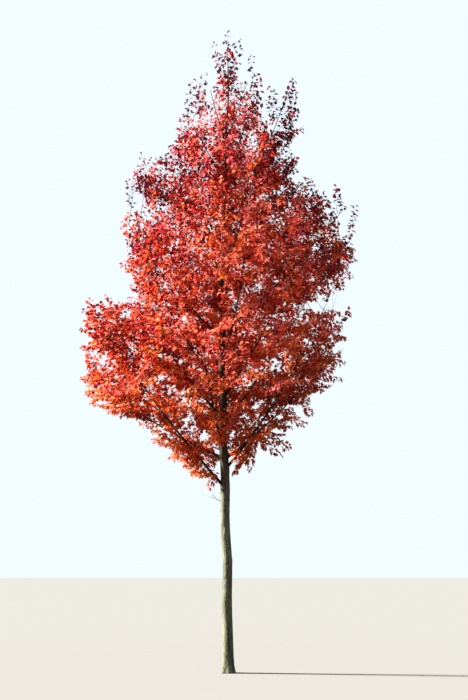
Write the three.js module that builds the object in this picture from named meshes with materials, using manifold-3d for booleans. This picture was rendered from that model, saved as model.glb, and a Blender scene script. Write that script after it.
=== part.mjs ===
// A young red maple in autumn: one straight leader, boughs in opposite pairs, and a crown of leafy masses.
// Millimetres and degrees, +Z up. The origin is in the flat cut under the trunk.
// +X is to the viewer's right and -Y faces the viewer.
import * as THREE from "three";
import { mergeVertices } from "three/addons/utils/BufferGeometryUtils.js";
import Module from "manifold-3d";

const wasm = await Module();
wasm.setup();

// The whole tree
const HEIGHT = 9250;
const GAP = 0.3; // between one solid and the next that it meets

// How far the crown reaches left and right of the trunk, as [height, reach]
const LEFT_REACH = [
  [2300, 250], [2950, 1080], [3450, 1500], [3780, 2110], [5130, 2090], [5420, 1470],
  [6650, 1560], [7200, 1430], [7480, 1010], [8100, 650], [8800, 340], [9250, 40],
];
const RIGHT_REACH = [
  [2450, 200], [2950, 830], [3450, 1150], [3950, 1640], [4850, 1880], [5230, 1600], [5850, 2010],
  [6450, 1980], [6830, 1740], [7080, 1140], [7700, 1050], [8100, 720], [8800, 310], [9250, 40],
];

// Trunk
const FORK_HEIGHT = 2490; // where the lowest bough springs
const TRUNK_TOP = 8050; // where the leader enters the topmost mass
const FOOT_RADIUS = 70;
const FORK_RADIUS = 64;
const CROWN_RADIUS = 59; // just above the lowest boughs
const TIP_RADIUS = 7;
const TRUNK_TAPER = 0.95; // the power that the radius falls by, through the crown
const COLLAR_HEIGHT = 400; // over which the trunk narrows above the lowest boughs
const FLARE = 30; // how much wider the foot is at the ground
const FLARE_HEIGHT = 130;
const ROOT_RIDGES = 5;
const RIDGE = 10;
const BOW = 85; // how far the leader leans left at mid height
const KINK = 9; // the small bends along it
const KINK_LENGTH = 1150;
const KINK_LENGTH_Y = 1500;
const TRUNK_SIDES = 16;
const TRUNK_STEPS = 20;
const STEP_CROWDING = 1.6; // above 1 the trunk's rings stand closer near the ground

// The lowest boughs, which show below the leaves: foot height, azimuth and climb from level
const LOWEST = [
  { foot: 2490, azimuth: 196, climb: 52 },
  { foot: 2740, azimuth: 338, climb: 56 },
  { foot: 2880, azimuth: 24, climb: 44 },
  { foot: 2900, azimuth: 158, climb: 30 },
];

// The boughs above them, in opposite pairs
const PAIRS = 11;
const FIRST_PAIR_HEIGHT = 3050;
const LAST_PAIR_HEIGHT = 7480;
const PAIR_CROWDING = 1.15; // above 1 the pairs stand closer low down
const STAGGER = 110; // how much higher a pair's second bough starts
const FIRST_AZIMUTH = 262;
const PAIR_TURN = 68.75;
const AZIMUTH_WANDER = 12;
const LOW_CLIMB = 41;
const HIGH_CLIMB = 62;
const CLIMB_RISE = 0.6; // below 1 the climb steepens fast above the lowest pair
const CLIMB_WANDER = 9;

// Every bough
const SHORTEST_REACH = 150;
const REACH_ROUNDS = 40; // steps that settle a bough's tip on the crown's edge
const REACH_STEP = 0.3;
const KNEE_OUT = 0.58; // the bend's place, as shares of the reach and the rise
const KNEE_UP = 0.45;
const SWERVE = 0.1; // how far the bend may stand to one side, beside the reach
const FOOT_SHARE = 0.36; // a bough's radius at its foot, beside the trunk's
const BOUGH_TAPER = 0.74;
const THINNEST = 7;
const BARE_LOW = 0.15; // the share of a bough that carries no leaves, lowest and highest
const BARE_HIGH = 0.2;
const BOUGHS_UP_TO = 6600; // above this a mass springs from the trunk itself
const BOUGH_SIDES = 6;
const BOUGH_STEPS = 4;

// The tall shoot that stands over the right shoulder
const SPIRE = { number: 19, azimuth: 2, reach: 930, top: 8340, width: 260 };

// Stems and twigs of a mass
const LEADER_ROOM = 160; // from the end of the topmost stem to the tip of its last spray
const STEM_SIDES = 4;
const STEM_STEPS = 5;
const NODE_SPACING = 430; // between one pair of twigs and the next
const FIRST_NODE = 0.35; // how far into its space along the stem a pair stands
const NODE_WANDER = 0.5; // in radians, about the stem
const TWIG_ANGLE = 54;
const TWIG_ANGLE_WANDER = 9;
const TWIG_SHARE = 0.8; // a twig's length beside the stem that is left beyond it
const TWIG_EXTRA = 420;
const TWIG_LENGTH_WANDER = 0.2;
const TWIG_SAG = 0.42; // how much the lowest twigs turn down
const SAG_FROM = 3000; // full sag up to here, and none above the next height
const SAG_TO = 6500;
const TWIG_RADIUS = 3.4;
const TWIG_TIP_RADIUS = 3;
const TWIG_SIDES = 3;
const SHORTEST_TWIG = 120;
const STRIDE = 40; // how finely a twig's way is tested

// Leaf sprays
const SPRAY_LENGTH = 370;
const SPRAY_WIDTH = 300;
const SPRAY_THICKNESS = 12;
const SPRAY_SHOULDER = 0.45; // where along it a spray is widest
const SPRAY_HEEL = 0.07; // and thickest
const SMALL_FROM = 6300; // sprays are smaller from here up
const SMALL_AT = 8600;
const SMALL_SIZE = 0.62;
const SPRAY_TRIES = [1.08, 0.92, 0.78, 0.64]; // sizes tried until one fits
const FACING_TRIES = [0, 0.4, -0.4]; // turns tried at each size
const SPRAY_SPACING = 250;
const SPRAY_ANGLE = 60;
const SPRAY_ROOT = 20; // how far back from a limb's end the spray at its tip is rooted
const ROOT_OFFSET = 1.5; // how far to its own side of the twig each spray of a pair is rooted
const TIP_ROOM = 0.62; // how much of a spray's length a stem stops short of the crown's edge
const TWIG_ROOM = 0.8; // how much of a spray's length has to fit beyond a twig

// Clearances of a mass's own space
const SPACE_MARGIN = 8; // on each side of the border between two masses
const TRUNK_MARGIN = 15;
const BOUGH_MARGIN = 36; // from the middle of a bough
const EDGE_MARGIN = 60; // how far a spray may pass the crown's smoothed edge

const UP = new THREE.Vector3(0, 0, 1);
const { lerp, degToRad, smoothstep } = THREE.MathUtils;

// A repeatable number from 0 to 1 for each key.
function chance(key) {
  const wave = Math.sin(key * 12.9898 + 4.1414) * 43758.5453;
  return wave - Math.floor(wave);
}

const wander = (key) => 2 * chance(key) - 1;

// The value of a [place, value] table at a place.
function valueAt(table, place) {
  const next = table.findIndex(([end]) => end > place);
  if (next < 0) return table.at(-1)[1];
  if (next === 0) return table[0][1];
  const [from, a] = table[next - 1];
  const [to, b] = table[next];
  return lerp(a, b, (place - from) / (to - from));
}

// How far the crown reaches from the trunk's line in a direction, at a height.
function crownReach(azimuth, height) {
  const right = (1 + Math.cos(azimuth)) / 2;
  return lerp(valueAt(LEFT_REACH, height), valueAt(RIGHT_REACH, height), right);
}

const spraySize = (height) => lerp(1, SMALL_SIZE, smoothstep(height, SMALL_FROM, SMALL_AT));

// The middle of the trunk at a height.
function trunkPoint(height) {
  const lean = -BOW * Math.sin((Math.PI * height) / HEIGHT) ** 2;
  const bend = KINK * Math.min(1, height / KINK_LENGTH);
  return new THREE.Vector3(
    lean + bend * Math.sin((2 * Math.PI * height) / KINK_LENGTH),
    bend * Math.cos((2 * Math.PI * height) / KINK_LENGTH_Y),
    height,
  );
}

function trunkRadius(height) {
  if (height < FORK_HEIGHT) {
    const flare = FLARE * Math.exp(-height / FLARE_HEIGHT);
    return lerp(FOOT_RADIUS, FORK_RADIUS, height / FORK_HEIGHT) + flare;
  }
  const left = 1 - (height - FORK_HEIGHT) / (HEIGHT - FORK_HEIGHT);
  const collar = (FORK_RADIUS - CROWN_RADIUS) * Math.exp((FORK_HEIGHT - height) / COLLAR_HEIGHT);
  return TIP_RADIUS + (CROWN_RADIUS - TIP_RADIUS) * left ** TRUNK_TAPER + collar;
}

// Distance from a point to a chain of points.
function distanceTo(chain, point) {
  const nearest = new THREE.Vector3();
  let least = Infinity;
  for (let i = 1; i < chain.length; i++) {
    new THREE.Line3(chain[i - 1], chain[i]).closestPointToPoint(point, true, nearest);
    least = Math.min(least, nearest.distanceTo(point));
  }
  return least;
}

// Points at equal shares along a limb.
const chainOf = (pointAt, steps) => Array.from({ length: steps + 1 }, (_, i) => pointAt(i / steps));

// A solid from a closed three.js geometry.
function solidFrom(geometry) {
  geometry.deleteAttribute("normal");
  geometry.deleteAttribute("uv");
  const merged = mergeVertices(geometry, 1e-4);
  return new wasm.Manifold(
    new wasm.Mesh({
      numProp: 3,
      vertProperties: new Float32Array(merged.attributes.position.array),
      triVerts: new Uint32Array(merged.index.array),
    }),
  );
}

function geometryFrom(solid) {
  const mesh = solid.getMesh();
  const geometry = new THREE.BufferGeometry();
  geometry.setAttribute("position", new THREE.BufferAttribute(mesh.vertProperties, 3));
  geometry.setIndex(new THREE.BufferAttribute(mesh.triVerts, 1));
  geometry.computeVertexNormals();
  return geometry;
}

// A cylinder bent along pointAt(share) with radiusAt(share, angle). The trunk's rings stay level.
function limbSolid(pointAt, radiusAt, sides, steps, level = false) {
  const geometry = new THREE.CylinderGeometry(1, 1, 1, sides, steps);
  const position = geometry.attributes.position;
  const local = new THREE.Vector3();
  const across = new THREE.Vector3();
  const beside = new THREE.Vector3();
  for (let i = 0; i < position.count; i++) {
    local.fromBufferAttribute(position, i);
    const share = Math.round((local.y + 0.5) * steps) / steps;
    const ahead = level ? UP : headingAt(pointAt, share);
    const guide = Math.abs(ahead.x) > 0.9 ? new THREE.Vector3(0, 1, 0) : new THREE.Vector3(1, 0, 0);
    across.copy(guide).addScaledVector(ahead, -ahead.dot(guide)).normalize();
    beside.crossVectors(ahead, across);
    const angle = Math.atan2(local.z, local.x);
    const radius = Math.hypot(local.x, local.z) * radiusAt(share, angle);
    const place = pointAt(share);
    place.addScaledVector(across, radius * Math.cos(angle));
    place.addScaledVector(beside, -radius * Math.sin(angle));
    position.setXYZ(i, place.x, place.y, place.z);
  }
  return solidFrom(geometry);
}

// The direction in which a limb runs at a share of its length.
function headingAt(pointAt, share) {
  const from = pointAt(Math.max(0, share - 0.01));
  return pointAt(Math.min(1, share + 0.01)).sub(from).normalize();
}

// The direction at an angle from a limb's own, on the side given by a turn about it.
function sideDirection(ahead, angle, turn) {
  const across = new THREE.Vector3().crossVectors(ahead, UP).normalize();
  const above = new THREE.Vector3().crossVectors(across, ahead);
  const off = across.multiplyScalar(Math.cos(turn)).addScaledVector(above, Math.sin(turn));
  return ahead.clone().multiplyScalar(Math.cos(angle)).addScaledVector(off, Math.sin(angle)).normalize();
}

// Where the bough with this number starts, which way it heads and how steeply it climbs.
function springing(number) {
  if (number < LOWEST.length) return LOWEST[number];
  const pair = Math.floor((number - LOWEST.length) / 2);
  const second = number % 2;
  const up = (pair / (PAIRS - 1)) ** PAIR_CROWDING;
  return {
    foot: lerp(FIRST_PAIR_HEIGHT, LAST_PAIR_HEIGHT, up) + second * STAGGER,
    azimuth: FIRST_AZIMUTH + pair * PAIR_TURN + second * 180 + AZIMUTH_WANDER * wander(number + 0.3),
    climb: lerp(LOW_CLIMB, HIGH_CLIMB, up ** CLIMB_RISE) + CLIMB_WANDER * wander(number + 0.6),
  };
}

// How far out a bough runs until the spray at its tip meets the crown's edge.
function settledReach(foot, azimuth, climb) {
  let reach = crownReach(azimuth, foot);
  for (let round = 0; round < REACH_ROUNDS; round++) {
    const height = foot + reach * Math.tan(climb);
    const room = TIP_ROOM * SPRAY_LENGTH * spraySize(height);
    const edge = crownReach(azimuth, Math.min(HEIGHT - room, height + room)) - room * Math.cos(climb);
    reach = lerp(reach, Math.max(SHORTEST_REACH, edge), REACH_STEP);
  }
  return reach;
}

// A bough is a bent line from the trunk's core towards the crown's edge.
function growBough(number) {
  const { foot, azimuth, climb } = springing(number);
  const isSpire = number === SPIRE.number;
  const heading = degToRad(isSpire ? SPIRE.azimuth : azimuth);
  const reach = isSpire ? SPIRE.reach : settledReach(foot, heading, degToRad(climb));
  const rise = isSpire ? SPIRE.top - foot : reach * Math.tan(degToRad(climb));
  const start = trunkPoint(foot);
  const out = new THREE.Vector3(Math.cos(heading), Math.sin(heading), 0);
  const swerve = SWERVE * reach * wander(number + 0.8);
  const knee = start.clone().addScaledVector(out, KNEE_OUT * reach);
  knee.add(new THREE.Vector3(-out.y * swerve, out.x * swerve, KNEE_UP * rise));
  const tip = start.clone().addScaledVector(out, reach).addScaledVector(UP, rise);
  const curve = new THREE.QuadraticBezierCurve3(start, knee, tip);
  const footRadius = Math.max(1.5 * THINNEST, FOOT_SHARE * trunkRadius(foot));
  const bare = lerp(BARE_LOW, BARE_HIGH, (foot - FORK_HEIGHT) / (BOUGHS_UP_TO - FORK_HEIGHT));
  return {
    number,
    foot,
    heading,
    length: curve.getLength(),
    entry: foot < BOUGHS_UP_TO ? bare : 0,
    pointAt: (share) => curve.getPoint(share),
    radiusAt: (share) => Math.max(THINNEST, footRadius * (1 - BOUGH_TAPER * share)),
  };
}

// The mass of leaves whose stem carries a bough on from where it enters the leaves.
function growMass(bough) {
  const from = bough.entry ? bough.entry + GAP / bough.length : 0;
  return {
    name: numbered("foliage", bough.number),
    number: bough.number,
    heading: bough.heading,
    length: bough.length * (1 - from),
    firstShare: bough.entry ? 0 : trunkRadius(bough.foot) / bough.length,
    pointAt: (share) => bough.pointAt(lerp(from, 1, share)),
    radiusAt: (share) => bough.radiusAt(lerp(from, 1, share)),
  };
}

// The mass whose stem carries the leader on from the end of the trunk to the top of the tree.
function growLeader(number) {
  const from = TRUNK_TOP + GAP;
  const to = HEIGHT - LEADER_ROOM;
  return {
    name: "foliage_leader",
    number,
    heading: -Math.PI / 2,
    length: to - from,
    firstShare: 0,
    pointAt: (share) => trunkPoint(lerp(from, to, share)),
    radiusAt: (share) => lerp(trunkRadius(TRUNK_TOP), THINNEST, share),
  };
}

function numbered(kind, number) {
  return `${kind}_${String(number).padStart(2, "0")}`;
}

const everyBough = Array.from({ length: LOWEST.length + 2 * PAIRS }, (_, number) => growBough(number));
const boughs = everyBough.filter((bough) => bough.entry);
const masses = [...everyBough.map(growMass), growLeader(everyBough.length)];
for (const mass of masses) mass.chain = chainOf(mass.pointAt, STEM_STEPS);

const trunkChain = chainOf((share) => trunkPoint(share * TRUNK_TOP), TRUNK_STEPS);
const boughChains = boughs.map((bough) => chainOf((share) => bough.pointAt(share * bough.entry), BOUGH_STEPS));

// True where a point lies inside the crown. The tall shoot has a narrow space of its own above it.
function isInCrown(mass, point) {
  if (point.z > HEIGHT) return false;
  if (mass.number === SPIRE.number && distanceTo(mass.chain, point) < SPIRE.width) return true;
  const middle = trunkPoint(point.z);
  const [x, y] = [point.x - middle.x, point.y - middle.y];
  return Math.hypot(x, y) < crownReach(Math.atan2(y, x), point.z) + EDGE_MARGIN;
}

// True where a point lies in a mass's own space: in the crown, nearest to its own stem and clear of every limb.
function isInSpace(mass, point) {
  if (!isInCrown(mass, point)) return false;
  if (distanceTo(trunkChain, point) < trunkRadius(point.z) + TRUNK_MARGIN) return false;
  if (boughChains.some((chain) => distanceTo(chain, point) < BOUGH_MARGIN)) return false;
  const own = distanceTo(mass.chain, point) + SPACE_MARGIN;
  return masses.every((other) => other === mass || distanceTo(other.chain, point) > own);
}

// A place on a spray, by how far along it and how far across it lies, with its flat side towards facing.
function sprayPoint(root, direction, facing, size, along, across, up = 0) {
  const flat = facing.clone().addScaledVector(direction, -facing.dot(direction)).normalize();
  const side = new THREE.Vector3().crossVectors(flat, direction);
  return root
    .clone()
    .addScaledVector(direction, along * SPRAY_LENGTH * size)
    .addScaledVector(side, (across * SPRAY_WIDTH * size) / 2)
    .addScaledVector(flat, up * SPRAY_THICKNESS);
}

// One leaf spray: a kite with a flat under side, widest at its shoulder and thickest at its heel, near its root.
function spraySolid(root, direction, facing, size) {
  const at = (...place) => sprayPoint(root, direction, facing, size, ...place);
  const [left, right] = [at(SPRAY_SHOULDER, -1), at(SPRAY_SHOULDER, 1)];
  const geometry = new THREE.BufferGeometry().setFromPoints([at(0, 0), left, at(1, 0), right, at(SPRAY_HEEL, 0, 1)]);
  geometry.setIndex([0, 1, 4, 1, 2, 4, 2, 3, 4, 3, 0, 4, 0, 2, 1, 0, 3, 2]);
  return solidFrom(geometry);
}

// True where a spray's corners and the middles of its outer edges all lie in the mass's own space.
function sprayFits(mass, root, direction, facing, size) {
  const middle = (1 + SPRAY_SHOULDER) / 2;
  const places = [[1, 0], [SPRAY_SHOULDER, 1], [SPRAY_SHOULDER, -1], [middle, 0.5], [middle, -0.5], [0.5, 0]];
  return places.every((place) => isInSpace(mass, sprayPoint(root, direction, facing, size, ...place)));
}

// True where two solids touch.
function touch(a, b) {
  const [p, q] = [a.boundingBox(), b.boundingBox()];
  if ([0, 1, 2].some((i) => p.min[i] > q.max[i] || q.min[i] > p.max[i])) return false;
  return !a.intersect(b).isEmpty();
}

// Adds a spray on a limb of a mass, as large as fits in its space and touches none of its other parts.
function addSpray(mass, limb, root, direction, key) {
  for (const size of SPRAY_TRIES.map((share) => share * spraySize(root.z))) {
    for (const turn of FACING_TRIES) {
      const facing = new THREE.Vector3(
        0.75 * Math.cos(mass.heading + turn) + 0.5 * wander(key + 1.7),
        0.75 * Math.sin(mass.heading + turn) + 0.5 * wander(key + 2.9),
        0.5 + 0.35 * wander(key + 4.3) + turn,
      );
      if (!sprayFits(mass, root, direction, facing, size)) continue;
      const spray = spraySolid(root, direction, facing, size);
      if (mass.limbs.some((other) => other !== limb && touch(other, spray))) continue;
      if (mass.sprays.some((other) => touch(other, spray))) continue;
      mass.sprays.push(spray);
      return;
    }
  }
}

// How far a straight twig can run before the spray at its tip would leave the mass's space.
function roomAlong(mass, root, direction, wanted) {
  const ahead = STRIDE + TWIG_ROOM * SPRAY_LENGTH * spraySize(root.z);
  let length = 0;
  while (length < wanted && isInSpace(mass, root.clone().addScaledVector(direction, length + ahead)))
    length += STRIDE;
  return length;
}

// One twig of a pair: a straight shoot from the stem, which sags where it is low on the tree.
function growTwig(mass, share, quarter, key) {
  const root = mass.pointAt(share);
  const angle = degToRad(TWIG_ANGLE + TWIG_ANGLE_WANDER * wander(key + 0.4));
  const direction = sideDirection(headingAt(mass.pointAt, share), angle, quarter);
  direction.z -= TWIG_SAG * (1 - smoothstep(root.z, SAG_FROM, SAG_TO));
  direction.normalize();
  const spread = 1 + TWIG_LENGTH_WANDER * wander(key + 0.9);
  const wanted = (TWIG_SHARE * (1 - share) * mass.length + TWIG_EXTRA) * spread;
  const length = roomAlong(mass, root, direction, wanted);
  return { root, direction, key, length, pointAt: (s) => root.clone().addScaledVector(direction, s * length) };
}

// The twigs of a mass: opposite pairs along its stem, each pair turned a quarter from the last.
function growTwigs(mass) {
  const spacing = NODE_SPACING * spraySize(mass.pointAt(0.5).z);
  const nodes = Math.max(2, Math.round(mass.length / spacing));
  const twigs = [];
  for (let node = 0; node < nodes; node++) {
    const share = Math.max(mass.firstShare, (node + FIRST_NODE) / nodes);
    const quarter = (node * Math.PI) / 2 + NODE_WANDER * wander(mass.number * 31 + node);
    for (const way of [0, 1])
      twigs.push(growTwig(mass, share, quarter + way * Math.PI, mass.number * 101 + node * 7 + way));
  }
  return twigs;
}

// Sprays in opposite pairs back along a twig from the one at its tip.
function addTwigSprays(mass, twig) {
  const { direction, key, length } = twig;
  const spacing = SPRAY_SPACING * spraySize(twig.root.z);
  addSpray(mass, twig.solid, twig.pointAt(1 - SPRAY_ROOT / length), direction, key);
  let turn = chance(key + 0.2) < 0.5 ? 0 : Math.PI / 2;
  for (let back = spacing; back < length - 0.2 * spacing; back += spacing) {
    for (const way of [0, 1]) {
      const heading = sideDirection(direction, degToRad(SPRAY_ANGLE), turn + way * Math.PI);
      const root = twig.pointAt(1 - back / length).addScaledVector(heading, ROOT_OFFSET);
      addSpray(mass, twig.solid, root, heading, key + back / spacing + 0.5 * way);
    }
    turn += Math.PI / 2;
  }
}

// All of one mass: its stem, its twigs and their sprays, fused together and cut clear of the trunk.
function massSolid(mass) {
  const stem = limbSolid(mass.pointAt, mass.radiusAt, STEM_SIDES, STEM_STEPS);
  mass.limbs = [stem];
  mass.sprays = [];
  const twigs = growTwigs(mass);
  for (const twig of twigs.filter(({ length }) => length >= SHORTEST_TWIG)) {
    const radiusAt = (share) => lerp(TWIG_RADIUS, TWIG_TIP_RADIUS, share);
    twig.solid = limbSolid(twig.pointAt, radiusAt, TWIG_SIDES, 1);
    mass.limbs.push(twig.solid);
  }
  const end = mass.pointAt(1 - SPRAY_ROOT / mass.length);
  addSpray(mass, stem, end, headingAt(mass.pointAt, 1), mass.number * 101 + 90);
  for (const twig of twigs) {
    if (twig.solid) addTwigSprays(mass, twig);
    else addSpray(mass, stem, twig.root, twig.direction, twig.key);
  }
  const fused = wasm.Manifold.union([...mass.limbs, ...mass.sprays]).subtract(trunkSolid(GAP));
  const bodies = fused.decompose().sort((a, b) => b.volume() - a.volume());
  return bodies[0];
}

// The trunk, grown by a clearance all round where something is cut by it.
function trunkSolid(clearance) {
  const heightAt = (share) => TRUNK_TOP * share ** STEP_CROWDING;
  const radiusAt = (share, angle) => {
    const height = heightAt(share);
    const ridge = RIDGE * Math.exp(-height / FLARE_HEIGHT) * Math.cos(ROOT_RIDGES * angle);
    return trunkRadius(height) + ridge + clearance;
  };
  return limbSolid((share) => trunkPoint(heightAt(share)), radiusAt, TRUNK_SIDES, TRUNK_STEPS, true);
}

// The bare length of a bough, cut clear of the trunk.
function boughSolid(bough) {
  const pointAt = (share) => bough.pointAt(share * bough.entry);
  const radiusAt = (share) => bough.radiusAt(share * bough.entry);
  return limbSolid(pointAt, radiusAt, BOUGH_SIDES, BOUGH_STEPS).subtract(trunkSolid(GAP));
}

const trunkBark = () => new THREE.MeshStandardMaterial({ color: 0x8a8268, roughness: 0.9, metalness: 0 });
const boughBark = () => new THREE.MeshStandardMaterial({ color: 0x4f4a3a, roughness: 0.9, metalness: 0 });
const redLeaves = () => new THREE.MeshStandardMaterial({ color: 0xb8261a, roughness: 0.65, metalness: 0 });

const tree = new THREE.Group();
function add(name, solid, material) {
  const mesh = new THREE.Mesh(geometryFrom(solid), material);
  mesh.name = name;
  tree.add(mesh);
}

add("trunk", trunkSolid(0), trunkBark());
for (const bough of boughs) add(numbered("bough", bough.number), boughSolid(bough), boughBark());
for (const mass of masses) add(mass.name, massSolid(mass), redLeaves());

export default tree;
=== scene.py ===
"""A young red maple in autumn leaf: bark-covered trunk and boughs, fine twigs and many thousands of leaves.

The limbs and twigs grow by the same rule as the part's own solids, carried on to finer shoots and single
leaves. Metres and radians, +Z up, with the origin in the flat cut under the trunk.
"""
import functools
import itertools
import math
from typing import Callable, NamedTuple

import bmesh
import bpy
import numpy as np
from bpy.props import FloatProperty, FloatVectorProperty, IntProperty, PointerProperty
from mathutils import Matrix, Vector, kdtree, noise


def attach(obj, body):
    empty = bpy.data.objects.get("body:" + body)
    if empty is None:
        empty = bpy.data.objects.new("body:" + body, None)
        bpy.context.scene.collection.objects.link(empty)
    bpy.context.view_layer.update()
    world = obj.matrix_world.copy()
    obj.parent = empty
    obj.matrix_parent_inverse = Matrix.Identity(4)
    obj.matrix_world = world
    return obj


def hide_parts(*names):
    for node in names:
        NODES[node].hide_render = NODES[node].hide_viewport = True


bl_info = {
    "name": "Red Maple Tree",
    "version": (1, 0, 0),
    "blender": (4, 5, 0),
    "location": "3D View > Sidebar > Maple",
    "description": "Grows a young red maple in autumn leaf round its packed solids",
    "category": "Add Mesh",
}

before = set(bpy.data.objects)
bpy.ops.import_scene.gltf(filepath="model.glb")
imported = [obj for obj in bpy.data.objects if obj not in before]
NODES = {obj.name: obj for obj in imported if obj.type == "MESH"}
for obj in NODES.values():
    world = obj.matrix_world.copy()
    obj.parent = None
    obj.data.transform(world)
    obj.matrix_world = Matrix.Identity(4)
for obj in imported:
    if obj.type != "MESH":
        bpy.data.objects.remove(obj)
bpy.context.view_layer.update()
BODY = "root"

# Pitch, shift and height of the wave that the repeatable numbers are read from
WAVE = (12.9898, 4.1414, 43758.5453)

# The whole tree
HEIGHT = 9.25

# How far the crown reaches left and right of the trunk, by height
LEFT_HEIGHTS = (2.3, 2.95, 3.45, 3.78, 5.13, 5.42, 6.65, 7.2, 7.48, 8.1, 8.8, 9.25)
LEFT_REACHES = (0.25, 1.08, 1.5, 2.11, 2.09, 1.47, 1.56, 1.43, 1.01, 0.65, 0.34, 0.04)
RIGHT_HEIGHTS = (2.45, 2.95, 3.45, 3.95, 4.85, 5.23, 5.85, 6.45, 6.83, 7.08, 7.7, 8.1, 8.8, 9.25)
RIGHT_REACHES = (0.2, 0.83, 1.15, 1.64, 1.88, 1.6, 2.01, 1.98, 1.74, 1.14, 1.05, 0.72, 0.31, 0.04)

# Trunk
FORK_HEIGHT = 2.49
TRUNK_TOP = 8.05
FOOT_RADIUS = 0.07
FORK_RADIUS = 0.064
CROWN_RADIUS = 0.059
TIP_RADIUS = 0.007
TRUNK_TAPER = 0.95
COLLAR_HEIGHT = 0.4
FLARE = 0.03
FLARE_HEIGHT = 0.13
ROOT_RIDGES = 5
RIDGE = 0.01
BOW = 0.085
KINK = 0.009
KINK_LENGTH = 1.15
KINK_LENGTH_Y = 1.5

# The lowest boughs, which show below the leaves: foot height, azimuth and climb from level
LOWEST = ((2.49, 196, 52), (2.74, 338, 56), (2.88, 24, 44), (2.9, 158, 30))

# The boughs above them, in opposite pairs
PAIRS = 11
FIRST_PAIR_HEIGHT = 3.05
LAST_PAIR_HEIGHT = 7.48
PAIR_CROWDING = 1.15
STAGGER = 0.11
FIRST_AZIMUTH = 262
PAIR_TURN = 68.75
AZIMUTH_WANDER = 12
LOW_CLIMB = 41
HIGH_CLIMB = 62
CLIMB_RISE = 0.6
CLIMB_WANDER = 9

# Every bough
SHORTEST_REACH = 0.15
REACH_ROUNDS = 40
REACH_STEP = 0.3
KNEE_OUT = 0.58
KNEE_UP = 0.45
SWERVE = 0.1
FOOT_SHARE = 0.36
BOUGH_TAPER = 0.74
THINNEST = 0.007
BARE_LOW = 0.15
BARE_HIGH = 0.2
BOUGHS_UP_TO = 6.6
THINNEST_FOOT = 1.5 * THINNEST
LENGTH_STEPS = 60
HEADING_SPAN = 0.01  # share of a limb's length, each way, over which its heading is taken

# The tall shoot that stands over the right shoulder
SPIRE = {"number": 19, "azimuth": 2, "reach": 0.93, "top": 8.34, "width": 0.26}

# Stems and twigs of a mass
LEADER_ROOM = 0.16
STEM_STEPS = 5
TRUNK_STEPS = 20
ENTRY_STEPS = 4
NODE_SPACING = 0.43
FIRST_NODE = 0.35
NODE_WANDER = 0.5
TWIG_ANGLE = 54
TWIG_ANGLE_WANDER = 9
TWIG_SHARE = 0.8
TWIG_EXTRA = 0.42
TWIG_LENGTH_WANDER = 0.2
TWIG_SAG = 0.42
SAG_FROM = 3.0
SAG_TO = 6.5
SHORTEST_TWIG = 0.12
STRIDE = 0.04
TWIG_LIFT = 0.1
LAST_NODE = 0.97
SPRAY_LENGTH = 0.37
SMALL_FROM = 6.3
SMALL_AT = 8.6
SMALL_SIZE = 0.62
TIP_ROOM = 0.62
TWIG_ROOM = 0.8
SPACE_MARGIN = 0.008
TRUNK_MARGIN = 0.015
BOUGH_MARGIN = 0.036
EDGE_MARGIN = 0.06

# The finer growth that only this script makes. Every kind of shoot has its own keys for the draws by chance.
FINER = 2  # pairs of twigs here for each pair in the solids
LEADER_KEY = 26
STEM_KEY = 500
STEM_KEY_STEP = 3.1
TWIG_KEY = 900
FILLING_KEY = 1400
FILLING_KEY_STEP = 0.31
KEY_STEP = 0.37
KEY_WAY = 0.11
PLACED_KEY = 10000  # shoots with keys from here on are placed one by one and always kept
TRUNK_SHOOT_KEY = 10500
LOW_SHOOT_KEY = 11000

# Shoots along stems and twigs. A pair is a middle value and how far chance takes it either way.
SHOOT_ANGLE = (56, 12)
SHOOT_GROWTH = (1, 0.35)
TIP_SHOOT_GROWTH = (1, 0.3)
SHOOT_SPREAD = (1, 0.25)
SHOOT_TURN = 0.3
SPACING_SHRINK = 0.6
FIRST_SHOOT = 0.45
YOUNGEST = 0.35
LENGTH_GAIN = 1.6
SHORTEST_RUN = 0.3
LAYERED = (4, 7.2)
SHOOT_ARCH = 0.08

# Shoots in the crown's gaps: where places are tried, and how far they are from the wood and the trunk
GAP_BOX = ((-2.1, -2, 2.6), (2, 2, 8.2))
GAP_SEED = 5
GAP_MARGIN = -0.04
GAP_DROP = 0.12
GAP_REACH = 0.75
HIGH_GAPS = 0.28
HIGH_GAPS_SPAN = (4.6, 5.8)
BACK_FROM = 0.15
TRUNK_ROOM = 0.25
BACK_TRUNK_ROOM = 0.12
STEM_STOPS = 12
TWIG_STOPS = 5
AXIS_STOPS = 10

# Shoots from the trunk and from the feet of the lowest boughs. A climb or angle is a middle value and how far
# chance takes it, and the others are the least value and what chance adds.
TRUNK_SHOOT_HEIGHT = (3.0, 5.5)
TRUNK_SHOOT_CROWDING = 0.8
TRUNK_SHOOT_CLIMB = (28, 22)
TRUNK_SHOOT_LENGTH = (0.16, 0.18)
SHOOT_SINK = 0.8
BACK_EXTRA = 1.2
BACK_EXTRA_SPAN = (4.4, 3.4)
BACK_WAY = 0.1
LOW_SHOOT_SHARE = (0.06, 0.36)
LOW_SHOOT_ANGLE = (60, 25)
LOW_SHOOT_LENGTH = (0.16, 0.12)
LOW_SHOOT_DROP = 0.8
LOW_BOUGHS = 7
LOWEST_TIP = 2.4

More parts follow.
